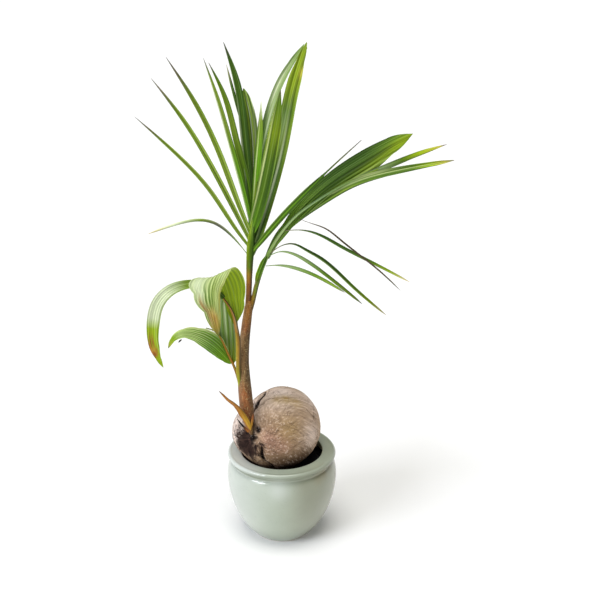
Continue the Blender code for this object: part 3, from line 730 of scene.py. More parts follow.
@dataclass(frozen=True)
class Limb:
    """A round, tapering limb along a smooth curve, with low ridges along it.

    A place on it is path(s) + r (cos a across + sin a up). The radius r is read from the rows and grown by
    the ridges, and on the side that faces up from the front it sinks to a channel, by a bell round a = 90.

    Attributes:
        path: its middle line.
        radii: rows of share and radius.
        tones: tones by share of the length.
        start: the share where it begins.
        end: the share where it ends.
        channel: depth of the channel, as a share of the radius.
        ridge: height of the ridges in metres, and how many there are round it.
        left: tone of its left side, and how strongly it shows; it paints that side's light and shade.
        right: tone of its right side, and how strongly it shows; it paints that side's light and shade.
        grid: points along and round.
        seed: what fixes its relief.
    """

    path: Path
    radii: Rows
    tones: Tones
    start: float = 0.0
    end: float = 1.0
    channel: float = 0.0
    ridge: tuple[float, int] = (0.0001, 9)
    left: tuple[Tone, float] | None = None
    right: tuple[Tone, float] | None = None
    grid: tuple[int, int] = (70, 28)
    seed: int = 1

    def skin(self) -> Skin:
        """Works the limb out by the formula in the class's own description.

        Returns:
            The closed surface of the limb.
        """
        path, along, share = self.path.stretch(self.start, self.end, self.grid[0])
        across = unit(np.cross(along, np.array([0.0, -1.0, 0.0])))
        up = np.cross(across, along)
        turn = circle(self.grid[1])[None]
        full = read(share, self.radii)
        reach = (share * self.path.length)[:, None]
        ring = np.stack(np.broadcast_arrays(0.01 * np.cos(turn), 0.01 * np.sin(turn), 0.12 * reach), axis=-1)
        relief = self.ridge[0] * (np.sin(self.ridge[1] * turn + 9 * reach) + ripples(ring, 0.006, self.seed))
        radius = full * (1 - self.channel * bell(turn, np.pi / 2, 0.7))
        radius = radius + relief * np.minimum(1, full / 0.004)
        out = np.cos(turn)[..., None] * across[:, None] + np.sin(turn)[..., None] * up[:, None]
        rings = path[:, None] + radius[..., None] * out
        colour = np.broadcast_to(toned(share, self.tones)[:, None], rings.shape)
        # painted light on a side that faces the lamps, painted shade on a side turned away
        for side, way in ((self.left, -1), (self.right, 1)):
            if side:
                weight = side[1] * ease(way * np.cos(turn), -0.1, 0.9) * np.ones(rings.shape[:2])
                colour = blended(colour, side[0], weight)
        grain = np.stack(np.broadcast_arrays(radius * np.cos(turn), radius * np.sin(turn), reach), axis=-1)
        return Skin.over(rings, colour, grain)


@dataclass(frozen=True)
class Spot:
    """A soft round place on a solid body that has a tone of its own."""

    place: Place
    size: float
    tone: Tone
    weight: float = 0.8

    def over(self, colour: np.ndarray, points: np.ndarray) -> np.ndarray:
        """The colours with this spot's tone mixed in round its place."""
        away = np.linalg.norm(points - np.asarray(self.place), axis=-1)
        return blended(colour, self.tone, self.weight * bell(away, 0, self.size))


def turned(profile: np.ndarray, segments: int) -> np.ndarray:
    """The profile turned about Z: its places are (r cos a, r sin a, z).

    Args:
        profile: radius and height, by row.
        segments: how many turns a each ring has.

    Returns:
        One ring of places for each row of the profile.
    """
    angle = circle(segments)[None]
    radius, height = profile[:, :1], profile[:, 1:]
    return np.stack(np.broadcast_arrays(radius * np.cos(angle), radius * np.sin(angle), height), axis=-1)


def rounded(profile: np.ndarray, times: int = 2) -> np.ndarray:
    """Cuts a profile's corners: each step keeps the points at a quarter and three quarters of every side.

    Args:
        profile: radius and height, by row.
        times: how many steps are taken.

    Returns:
        The rounded profile, with the same two ends.
    """
    for _ in range(times):
        near, far = 0.75 * profile[:-1] + 0.25 * profile[1:], 0.25 * profile[:-1] + 0.75 * profile[1:]
        cut = np.stack([near, far], axis=1).reshape(-1, 2)
        profile = np.concatenate([profile[:1], cut, profile[-1:]])
    return profile


def bezier(corners: list[tuple[float, float]], count: int) -> np.ndarray:
    """The cubic Bezier curve over four corners, each weighted by its share of ((1 - t) + t) cubed.

    Args:
        corners: the four corners, as radius and height.
        count: how many points to work out.

    Returns:
        The points, one in each row.
    """
    t = np.linspace(0, 1, count)[:, None]
    a, b, c, d = np.asarray(corners, float)
    return (1 - t) ** 3 * a + 3 * (1 - t) ** 2 * t * b + 3 * (1 - t) * t**2 * c + t**3 * d


@dataclass(frozen=True)
class Pot:
    """The round pot: a flat foot, a belly that narrows to a neck, and a wide flat rim with a rounded lip."""

    height: float = 0.167
    foot_radius: float = 0.056
    foot_height: float = 0.004
    belly_radius: float = 0.1014
    belly_height: float = 0.119
    neck_radius: float = 0.093
    neck_height: float = 0.1495
    rim_radius: float = 0.1
    rim_thickness: float = 0.011
    bead: float = 0.001
    opening_radius: float = 0.0752
    wall: float = 0.007
    floor: float = 0.009
    groove: float = 0.004
    wobble: float = 0.0016
    segments: int = 200
    # The spots under the rim at the right front are painted reflections, and the pale one on the front below
    # the neck is painted sheen.
    spots: tuple[Spot, ...] = (
        Spot((0.078, -0.055, 0.15), 0.01, Tone.PAINTED_REFLECTION, 0.75),
        Spot((0.068, -0.07, 0.146), 0.012, Tone.PAINTED_REFLECTION, 0.45),
        Spot((0.088, -0.034, 0.15), 0.008, Tone.PAINTED_REFLECTION, 0.6),
        Spot((0.046, -0.088, 0.142), 0.015, Tone.PAINTED_OLIVE_SHADE_AND_REFLECTION, 0.6),
        Spot((-0.005, -0.1, 0.137), 0.02, Tone.THIN_GLAZE_AND_PAINTED_LIGHT, 0.5),
    )

    def wall_line(self, inset: float = 0.0) -> np.ndarray:
        """The wall from the neck over the belly to the foot: two Bezier curves that meet level at the belly.

        Args:
            inset: how far the wall is moved in.

        Returns:
            Radius and height, by row.
        """
        swell = self.belly_radius - self.neck_radius
        upper = bezier([(self.neck_radius, self.neck_height),
                        (self.neck_radius + 0.6 * swell, self.neck_height - 0.0045),
                        (self.belly_radius, 0.5 * (self.belly_height + self.neck_height)),
                        (self.belly_radius, self.belly_height)], 14)
        lower = bezier([(self.belly_radius, self.belly_height), (self.belly_radius, 0.7 * self.belly_height),
                        (self.foot_radius + 0.03, 0.27 * self.belly_height),
                        (self.foot_radius, self.foot_height)], 26)
        return np.concatenate([upper, lower[1:]]) - (inset, 0)

    def rim_line(self) -> list[tuple[float, float]]:
        """The rim from its inner lower edge over the top and the bead to the groove.

        Returns:
            Radius and height, by row.
        """
        inner, outer, under = self.opening_radius, self.rim_radius, self.height - self.rim_thickness
        flat, bevel = self.height - self.bead, 0.002
        return [(inner, under), (inner, flat + 0.2 * bevel), (inner + 0.5 * bevel, flat + 0.7 * bevel),
                (inner + 2.5 * bevel, flat + 0.3 * bevel), (outer - 4 * bevel, flat),
                (outer - 2.5 * bevel, self.height + 0.0002), (outer - bevel, flat + 0.0004),
                (outer + 0.0002, flat - 1.5 * bevel), (outer - 0.25 * bevel, flat - 3 * bevel),
                (outer - self.groove, under + self.bead), (outer - 1.25 * self.groove, under - self.bead)]

    def profile(self) -> np.ndarray:
        """The section from the middle of the floor up the inside, over the rim and down to the foot.

        Returns:
            Radius and height, by row, with the corners cut.
        """
        inside = self.wall_line(self.wall)
        inside = inside[inside[:, 1] > self.floor][::-1]
        return rounded(np.concatenate([
            [(0.0, self.floor), (self.foot_radius - self.wall, self.floor)], inside,
            [(self.opening_radius + self.bead, self.neck_height + self.groove)],
            self.rim_line(), self.wall_line(),
            [(self.foot_radius - 0.002, 0.001), (self.foot_radius - 0.004, 0.0), (0.0, 0.0)]]))

    def colour(self, rings: np.ndarray) -> np.ndarray:
        """The glaze's colour, laid on by eases and bells of the place, one tone over the other.

        It is paler at the left and on the left of the rim: painted light from the lamps on the left. It is
        more
        olive at the right, less so on the rim: painted shade. It is darker under the rim, partly glaze pooled
        in the groove and partly painted shade; darker on the side of the rim, all but at its left: painted
        shade; and darker towards the foot. The lip's edge is paler, where the glaze runs thin. The foot ring
        is bare clay.

        Args:
            rings: places on the pot.

        Returns:
            One colour for each place.
        """
        x, y, z = (rings[..., k] for k in range(3))
        radius = radius_of(rings)
        outer = radius > self.neck_radius - 0.002
        under_rim = self.height - self.rim_thickness - 0.0015
        on_rim = ease(z, self.height - 0.005, self.height - 0.002)
        on_lip = bell(radius, self.rim_radius - 0.002, 0.0015) * ease(z, self.height - 0.003, self.height)
        rim_side = outer * bell(z, self.height - 0.006, 0.003)
        colour = np.broadcast_to(Tone.CELADON.light, rings.shape)
        for tone, weight in (
            # painted light: paler at the left
            (Tone.THIN_GLAZE_AND_PAINTED_LIGHT, 0.6 * ease(x, 0.0, -0.09)),
            # painted shade: more olive at the right, less on the rim
            (Tone.PAINTED_OLIVE_SHADE_AND_REFLECTION, ease(x - 0.3 * y, 0.01, 0.09) * (1 - 0.45 * on_rim)),
            # darker under the rim: glaze pooled in the groove, and painted shade
            (Tone.POOLED_GLAZE_AND_PAINTED_SHADE, 0.9 * outer * bell(z, under_rim, 0.0035)),
            # darker towards the foot
            (Tone.POOLED_GLAZE_AND_PAINTED_SHADE, 0.3 * ease(z, 0.06, 0.0)),
            # painted light: paler on the left of the rim
            (Tone.THIN_GLAZE_AND_PAINTED_LIGHT, 1.1 * on_rim * ease(x, -0.02, -0.08)),
            # the lip's edge, where the glaze runs thin
            (Tone.THIN_GLAZE_AND_PAINTED_LIGHT, 0.15 * on_lip),
            # painted shade on the side of the rim, all but its left
            (Tone.POOLED_GLAZE_AND_PAINTED_SHADE, 0.8 * rim_side * ease(x, -0.09, -0.02)),
            (Tone.CLAY, 0.9 * ease(z, 0.0022, 0.0008)),
        ):
            colour = blended(colour, tone, weight)
        for spot in self.spots:
            colour = spot.over(colour, rings)
        return colour

    def build(self) -> None:
        """Turns the pot and glazes it.

        The profile is turned about Z. The radius is grown by a third of a millimetre of slow waves round the
        pot, as throwing and firing leave it.
        """
        rings = turned(self.profile(), self.segments)
        angle = np.arctan2(rings[..., 1], rings[..., 0])
        height = rings[..., 2] / self.height
        wave = np.sin(2 * angle + 0.7) + 0.6 * np.sin(3 * angle + 4 * height)
        wave = wave + 0.3 * np.sin(5 * angle + 9 * height)
        rings = rings * (1 + self.wobble * wave * ease(height, 0.02, 0.2))[..., None] ** np.array([1, 1, 0])
        place("pot_glazed", Skin.over(rings, self.colour(rings), rings.copy()), GLAZE, "pot", corner=60)


@dataclass(frozen=True)
class Split:
    """A split that runs over the husk from its stem end.

    Attributes:
        meridian: its turn about the axis far out, in degrees.
        inner: its turn near the stem end.
        swing: the angles from the axis between which it swings from the one to the other.
        crack: the angles from the axis where its dark crack opens and where it closes.
        width: half width of the crack at its widest.
    """

    meridian: float
    inner: float
    swing: tuple[float, float]
    crack: tuple[float, float]
    width: float


@dataclass(frozen=True)
class Husk:
    """The nut in its husk: an egg with three blunt ridges, split over its dimpled stem end.

    A place on it has a polar angle from the axis, and a turn about the axis from the top to the right.

    Attributes:
        axis: where the stem end points.
        lower_taper: how far the underside is drawn in.
        ridge: height of the three ridges as a share of the radius, with the turn of the first in ridge_turn.
        split_reach: polar angle where the splits end, in degrees.
        side_drop: depth of the low side, which lies at side_turn and runs out over side_angle.
        relief: height of its ripples along the grain and of its lumps, and depth of its worn places.
        pit: polar angle and turn of the pit beside the stem end in degrees, and its half width.
        hair_angles: least polar angle of the hairs' roots and the spread beyond it, in radians.
        hair_turns: middle turn of the hairs' roots and the spread to each side, in degrees.
        spots: places with a tone of their own, some of them painted light and shade.
    """

    centre: Place = (-0.0087, 0.006, 0.2052)
    axis: Place = (-0.47, -0.85, 0.22)
    radius: float = 0.08
    half_length: float = 0.088
    lower_taper: float = 0.36
    ridge: float = 0.028
    ridge_turn: float = 22.0
    splits: tuple[Split, ...] = (Split(-16.0, -25.0, (28.0, 64.0), (38.0, 80.0), 0.005),
                                 Split(156.0, 128.0, (8.0, 28.0), (12.0, 62.0), 0.003))
    split_depth: float = 0.005
    split_width: float = 0.007
    split_reach: float = 66.0
    crack_depth: float = 0.0065
    dimple_depth: float = 0.007
    dimple_angle: float = 16.0
    side_drop: float = 0.01
    side_turn: float = -50.0
    side_angle: float = 27.0
    grid: tuple[int, int] = (255, 385)
    relief: tuple[float, float, float] = (0.00016, 0.0005, 0.0004)
    pit: tuple[float, float, float] = (13.5, 12.0, 0.0066)
    pit_depth: float = 0.006
    hairs: int = 1700
    hair_angles: tuple[float, float] = (0.12, 0.175)
    hair_turns: tuple[float, float] = (-135.0, 38.0)
    fibres: int = 700
    spots: tuple[Spot, ...] = (
        Spot((-0.0835, -0.02, 0.226), 0.037, Tone.PINKISH, 1.4),
        Spot((-0.06, -0.02, 0.262), 0.028, Tone.PINKISH, 1.0),
        # the pale top: the husk's own pinkish tone, lifted by painted light from above
        Spot((0.0, -0.01, 0.29), 0.034, Tone.PINKISH, 1.0),
        Spot((-0.0195, -0.077, 0.2278), 0.02, Tone.ROSE, 0.8),
        Spot((0.0018, -0.0773, 0.2158), 0.018, Tone.ROSE, 0.7),
        Spot((0.0576, -0.0352, 0.215), 0.028, Tone.PINKISH, 0.65),
        Spot((0.0524, 0.0205, 0.2582), 0.03, Tone.PINKISH, 0.65),
        Spot((0.0086, -0.0216, 0.2813), 0.012, Tone.GOLDEN, 1.0),
        Spot((-0.008, -0.025, 0.281), 0.011, Tone.GOLDEN, 0.8),
        Spot((0.0267, -0.0202, 0.2745), 0.013, Tone.GOLDEN, 0.8),
        Spot((0.015, -0.064, 0.24), 0.024, Tone.GOLDEN, 0.55),
        # painted shade beside the shoot's foot and at the end of the upper crack, with dark hair round it
        Spot((-0.0339, -0.0579, 0.2577), 0.015, Tone.SHADE, 0.45),
        Spot((-0.05, -0.061, 0.244), 0.009, Tone.SHADE, 0.8),
        Spot((-0.06, -0.0605, 0.23), 0.009, Tone.CREVICE, 1.5),
        Spot((-0.058, -0.065, 0.2235), 0.0085, Tone.CREVICE, 1.5),
        Spot((-0.0565, -0.0675, 0.213), 0.008, Tone.HAIR, 1.0),
        Spot((-0.069, -0.0545, 0.218), 0.009, Tone.HAIR, 0.55),
        Spot((-0.056, -0.065, 0.199), 0.011, Tone.HAIR, 0.3),
        # darker down the front, to painted shade low on the front where the nut meets the soil
        Spot((-0.018, -0.076, 0.205), 0.024, Tone.SHADE, 0.35),
        Spot((-0.015, -0.072, 0.185), 0.022, Tone.SHADE, 0.55),
        Spot((0.0069, -0.0682, 0.17), 0.028, Tone.SHADE, 1.2),
        Spot((0.0339, -0.0537, 0.172), 0.027, Tone.SHADE, 1.2),
        Spot((0.015, -0.062, 0.158), 0.017, Tone.HAIR, 0.7),
    )

    def compass(self) -> tuple[np.ndarray, np.ndarray, np.ndarray]:
        """The nut's own directions.

        Returns:
            The axis towards the stem end, and the directions to the nut's top and to its right.
        """
        axis = unit(np.asarray(self.axis))
        up = unit(np.array([0.0, 0.0, 1.0]) - axis[2] * axis)
        return axis, up, np.cross(up, axis)

    def off(self, turn: np.ndarray, meridian: np.ndarray | float) -> np.ndarray:
        """How far each turn in radians lies from the meridian, in degrees from -180 to 180."""
        return (np.degrees(turn) - meridian + 180) % 360 - 180

    def sideways(self, polar: np.ndarray, turn: np.ndarray, split: Split) -> np.ndarray:
        """Distance over the husk from a split's line, which swings from its inner turn to its meridian.

        Args:
            polar: angles from the axis.
            turn: turns about the axis.
            split: the split.

        Returns:
            One distance for each place, in metres.
        """
        line = split.inner + (split.meridian - split.inner) * ease(np.degrees(polar), *split.swing)
        line = line + 1.5 * np.sin(15 * polar + split.meridian)
        return np.radians(self.off(turn, line)) * np.sin(polar) * self.radius

    def cracks(self, polar: np.ndarray, turn: np.ndarray) -> np.ndarray:
        """How far each place is in a crack: a bell across it that is widest where it opens.

        Args:
            polar: angles from the axis.
            turn: turns about the axis.

        Returns:
            One share from 0 to 1 for each place.
        """
        inside = np.zeros_like(polar)
        for split in self.splits:
            opens, closes = split.crack
            taper = ease(np.degrees(polar), closes, opens + 5) * ease(np.degrees(polar), opens, opens + 14)
            reach = ease(np.degrees(polar), opens, opens + 5) * ease(np.degrees(polar), closes, closes - 6)
            narrow = bell(self.sideways(polar, turn, split) / (0.4 + 0.6 * taper), 0, split.width)
            inside = np.maximum(inside, reach * narrow)
        return inside

    def in_pit(self, polar: np.ndarray, turn: np.ndarray) -> np.ndarray:
        """How far each place is in the pit beside the stem end: a bell round the pit's middle.

        Args:
            polar: angles from the axis.
            turn: turns about the axis.

        Returns:
            One share from 0 to 1 for each place.
        """
        angle, around, size = self.pit
        away = [polar * np.cos(turn) - np.radians(angle) * np.cos(np.radians(around)),
                polar * np.sin(turn) - np.radians(angle) * np.sin(np.radians(around))]
        return bell(self.radius * np.hypot(*away), 0, size)

    def dent(self, polar: np.ndarray, turn: np.ndarray) -> np.ndarray:
        """How deep the husk lies below its egg.

        It is the sum of the dimple, the low side, the pit, the splits and their cracks. Each is a bell of the
        distance from its middle, and the splits end where their reach ends.

        Args:
            polar: angles from the axis.
            turn: turns about the axis.

        Returns:
            One depth for each place.
        """
        dent = self.dimple_depth * bell(np.degrees(polar), 0, self.dimple_angle)
        low_side = bell(self.off(turn, self.side_turn), 0, self.side_angle)
        dent = dent + self.side_drop * low_side * np.sin(polar) ** 2
        dent = dent + self.pit_depth * self.in_pit(polar, turn)
        reach = 1 / (1 + np.exp((np.degrees(polar) - self.split_reach) / 6))
        for split in self.splits:
            across = self.sideways(polar, turn, split)
            dent = dent + reach * self.split_depth * bell(across, 0, self.split_width)
        return dent + self.crack_depth * self.cracks(polar, turn)

    def surface(self, polar: np.ndarray, turn: np.ndarray, proud: np.ndarray | float = 0.0) -> np.ndarray:
        """Places on the husk by the angle from its axis and the turn about it, raised by proud."""
        return self.egg(polar, turn, proud - self.dent(polar, turn))

    def egg(self, polar: np.ndarray, turn: np.ndarray, raised: np.ndarray | float = 0.0) -> np.ndarray:
        """Places on the plain egg, raised outwards.

        The egg has a half length along the axis and a radius across it that swells by three ridges, and the
        underside is drawn in by the square of its depth below the middle.

        Args:
            polar: angles from the axis.
            turn: turns about the axis.
            raised: how far each place is raised.

        Returns:
            The places.
        """
        raised = np.broadcast_to(raised, polar.shape)
        axis, up, right = self.compass()
        swell = 1 + self.ridge * np.cos(3 * (turn - np.radians(self.ridge_turn))) * np.sin(polar) ** 2
        across = np.cos(turn)[..., None] * up + np.sin(turn)[..., None] * right
        out = np.cos(polar)[..., None] * axis + np.sin(polar)[..., None] * across
        local = self.half_length * np.cos(polar)[..., None] * axis
        local = local + (self.radius * np.sin(polar) * swell)[..., None] * across
        local = local + raised[..., None] * out
        depth = np.clip(-local[..., 2] / self.radius, 0, 1)
        drawn = np.stack([1 - self.lower_taper * depth**2] * 2 + [np.ones_like(depth)], axis=-1)
        return local * drawn + np.asarray(self.centre)

    def grain(self, polar: np.ndarray, turn: np.ndarray) -> np.ndarray:
        """Where each place lies in the grain, whose fibres run from the stem end and swirl about the axis.

        Args:
            polar: angles from the axis.
            turn: turns about the axis.

        Returns:
            Two distances across the fibres and one along them, for each place.
        """
        around = self.radius * np.sin(polar)
        swirl = turn + 0.35 * np.sin(2 * polar)
        return np.stack([around * np.cos(swirl), around * np.sin(swirl), self.radius * polar], axis=-1)

    def colour(self, polar: np.ndarray, turn: np.ndarray) -> np.ndarray:
        """The husk's colour: tan with its spots, painted shade underneath, dark hair and painted shade in the
        pit, and painted shade in the cracks.

        Args:
            polar: angles from the axis.
            turn: turns about the axis.

        Returns:
            One colour for each place.
        """
        points = self.egg(polar, turn)
        colour = np.broadcast_to(Tone.TAN.light, points.shape)
        for spot in self.spots:
            colour = spot.over(colour, points)
        # painted shade underneath, darker towards the bottom
        colour = blended(colour, Tone.SHADE, ease(points[..., 2], 0.18, 0.145))
        # painted shade at the pit's core, with its dark hair
        colour = blended(colour, Tone.HAIR, 0.75 * ease(self.in_pit(polar, turn), 0.0, 0.55))
        colour = blended(colour, Tone.CREVICE, 1.1 * ease(self.in_pit(polar, turn), 0.3, 0.9))
        # painted shade in the cracks
        return blended(colour, Tone.CREVICE, 1.15 * ease(self.cracks(polar, turn), 0.05, 0.4))

    def build(self) -> None:
        """Makes the husk, its hair and its fibres.

        The husk is raised by ripples, fine ones that are long along the grain and slow lumps, and it is worn
        down where a third set of them is highest.
        """
        polar, turn = np.meshgrid(np.pi * np.linspace(0, 1, self.grid[0]) ** 1.25, circle(self.grid[1]),
                                  indexing="ij")
        grain = self.grain(polar, turn)
        fibres = ripples(grain * (1, 1, 0.09), 0.0055, 5, waves=40)
        lumps = ripples(grain, 0.03, 6)
        scuffs = ease(ripples(grain * (1, 1, 0.3), 0.012, 8), 0.9, 1.6)
        fine, slow, worn = self.relief
        rings = self.surface(polar, turn, fine * fibres + slow * lumps - worn * scuffs)
        colour = self.colour(polar, turn)
        colour = blended(colour, Tone.SHADE, 0.25 * scuffs + 0.15 * ease(fibres, 0.8, 2.0))
        place("coconut_husk", Skin.over(rings, colour, grain), HUSK, "coconut")
        chance = np.random.default_rng(11)
        least, spread = self.hair_angles
        angle = np.degrees(np.abs(chance.normal(0.0, spread, self.hairs)) + least)
        turns = chance.normal(*self.hair_turns, self.hairs)
        self.build_hair("husk_hair", np.clip(angle, 5, 40), turns, (0.05, 0.25), (0.0004, 0.0034),
                        Tone.HAIR, 0.00034)
        angle, turns = chance.uniform(12, 100, self.fibres), chance.uniform(-180, 180, self.fibres)
        self.build_hair("husk_fibres", angle, turns, (0.1, 0.45), (0.0, 0.0004), Tone.SHADE, 0.00018)

    def build_hair(self, name: str, angle: np.ndarray, turns: np.ndarray, lengths: tuple[float, float],
                   lifts: tuple[float, float], tone: Tone, thick: float) -> None:
        """Makes loose fibres on the husk.

        Each is a thin three-sided tube. It starts at its place, runs away from the stem end along the husk
        for its length, bends sideways on a quarter of a sine wave, and lifts off towards its tip.

        Args:
            name: the piece's name.
            angle: where each starts, in degrees from the axis.
            turns: where each starts, in degrees about the axis.
            lengths: least and greatest length, in radians over the husk.
            lifts: least and greatest height of the tips.
            tone: their darkest tone.
            thick: their usual radius.
        """
        chance = np.random.default_rng(len(angle))
        count, steps = len(angle), 8
        polar, turn = np.radians(angle), np.radians(turns)
        reach = np.linspace(0, 1, steps)[None]
        length = chance.uniform(*lengths, count)[:, None]
        swing = chance.normal(0.0, 0.5, count)[:, None]
        lift = chance.uniform(*lifts, count)[:, None]
        along = polar[:, None] + length * reach
        around = turn[:, None] + swing * np.sin(reach * np.pi / 2) * length / np.sin(along)
        middle = self.surface(along, around, lift * reach**2 + 0.0002)
        heading = unit(np.gradient(middle, axis=1))
        side = unit(np.cross(heading, unit(np.asarray(self.axis))))
        up = np.cross(side, heading)
        radius = (thick * chance.uniform(0.6, 1.4, count)[:, None] * (1.05 - reach))[..., None, None]
        corner = circle(3)[None, None, :, None]
        out = np.cos(corner) * side[:, :, None] + np.sin(corner) * up[:, :, None]
        tubes = middle[:, :, None] + radius * out
        tint = blended(np.broadcast_to(tone.light, (count, 3)), Tone.ROSE, chance.uniform(0, 0.9, count) ** 4)
        place(name, many_tubes(tubes, np.broadcast_to(tint[:, None, None], tubes.shape)), HAIR, corner=180)


def many_tubes(tubes: np.ndarray, colour: np.ndarray) -> Skin:
    """One skin of many thin tubes, each closed at both ends.

    Args:
        tubes: points, by tube, step along it and side.
        colour: a colour for each point.

    Returns:
        The skin.
    """
    count, steps, sides = tubes.shape[:3]
    starts = (np.arange(count) * steps * sides)[:, None, None]
    ends = np.stack([np.arange(sides)[::-1], (steps - 1) * sides + np.arange(sides)])
    faces = (starts + walls(steps, sides)[None]).reshape(-1, 4).tolist()
    faces = faces + (starts + ends[None]).reshape(-1, sides).tolist()
    flat = tubes.reshape(-1, 3)
    return Skin(flat, faces, colour.reshape(-1, 3), flat.copy())


def radius_of(points: np.ndarray) -> np.ndarray:
    """Distance of each point from the vertical axis."""
    return np.linalg.norm(points[..., :2], axis=-1)


@dataclass(frozen=True)
class Soil:
    """The soil that fills the pot up to the nut: a crowned bed with crumbs on it.

    Attributes:
        crown: how much higher the bed is in the middle than at its edge.
        clearance: gap to the pot.
        hollow: radius and depth of the hollow under the nut, from its middle, and the gap to the husk.
    """

    height: float = 0.14
    crown: float = 0.004
    edge: float = 0.0885
    crumbs: int = 420
    clearance: float = 0.0003
    hollow: tuple[float, float, float] = (0.0655, 0.083, 0.0005)

    def level(self, radius: np.ndarray) -> np.ndarray:
        """Height of the bed: the crown falls off by the square of the distance from the middle."""
        return self.height + self.crown * (1 - (radius / self.edge) ** 2)

    def build(self, pot: Pot, husk: Husk) -> None:
        """Makes the bed and its crumbs.

        The bed's top is the crown plus slow and fast random relief, and it is pressed down under the husk to
        an ellipsoid that lies a little below it. Its side follows the pot's inside, a little clear of it.

        Args:
            pot: the pot that it fills.
            husk: the nut that lies in it.
        """
        inside = pot.wall_line(pot.wall + self.clearance)
        side = inside[(inside[:, 1] < self.height) & (inside[:, 1] > pot.floor + 0.004)]
        edge = side[0, 0]
        radius = np.linspace(0, edge - 2 * self.clearance, 60)
        top = np.stack([radius, self.level(radius)], axis=1)
        floor = pot.floor + self.clearance
        profile = np.concatenate([top, side, [(pot.foot_radius - pot.wall - 0.006, floor), (0.0, floor)]])
        rings = turned(profile, 150)
        ground = np.arange(len(profile))[:, None] < len(top)
        bump = 0.0011 * ripples(rings[..., :2], 0.016, 21) + 0.0005 * ripples(rings[..., :2], 0.005, 22)
        rings[..., 2] += bump * ground * ease(radius_of(rings), edge, edge - 0.004)
        reach, depth, gap = self.hollow
        away = rings[..., :2] - np.asarray(husk.centre)[:2]
        drop = np.sqrt(np.clip(1 - (away**2).sum(-1) / reach**2, 0, None))
        under = husk.centre[2] - depth * drop - gap
        rings[..., 2] = np.where(ground & (drop > 0), np.minimum(rings[..., 2], under), rings[..., 2])
        # near-black, deepened by painted shade inside the pot's mouth
        tint = np.broadcast_to(Tone.EARTH.light, rings.shape)
        bed = Skin.over(rings, tint, rings.copy())
        place("soil_bed", bed, EARTH, "soil", corner=60)
        place("soil_crumbs", self.crumb_skin(edge), EARTH, corner=180)

    def crumb_skin(self, edge: float) -> Skin:
        """Crumbs of soil: eight-sided lumps with jittered corners, spread over the ring outside the nut.

        Args:
            edge: radius of the bed.

        Returns:
            The skin of all the crumbs.
        """
        chance = np.random.default_rng(31)
        angle = chance.uniform(0, 2 * np.pi, self.crumbs)
        radius = chance.uniform(0.045, edge - 0.004, self.crumbs)
        size = chance.uniform(0.0008, 0.003, self.crumbs) * chance.uniform(0.5, 1.0, self.crumbs)
        middle = np.stack([radius * np.cos(angle), radius * np.sin(angle), self.level(radius) + 0.4 * size],
                          axis=-1)
        corners = np.array([(1, 0, 0), (0, 1, 0), (-1, 0, 0), (0, -1, 0), (0, 0, 0.7), (0, 0, -0.7)], float)
        shape = corners * chance.uniform(0.7, 1.3, (self.crumbs, 6, 1))
        points = middle[:, None] + size[:, None, None] * shape
        lump = np.array([(0, 1, 4), (1, 2, 4), (2, 3, 4), (3, 0, 4),
                         (1, 0, 5), (2, 1, 5), (3, 2, 5), (0, 3, 5)])
        faces = (np.arange(self.crumbs)[:, None, None] * 6 + lump).reshape(-1, 3).tolist()
        tone = blended(np.broadcast_to(Tone.EARTH.light, (self.crumbs, 3)), Tone.BARK_DARK,
                       0.6 * chance.uniform(0, 1, self.crumbs) ** 2)
        flat = points.reshape(-1, 3)
        return Skin(flat, faces, np.repeat(tone, 6, axis=0), flat.copy())


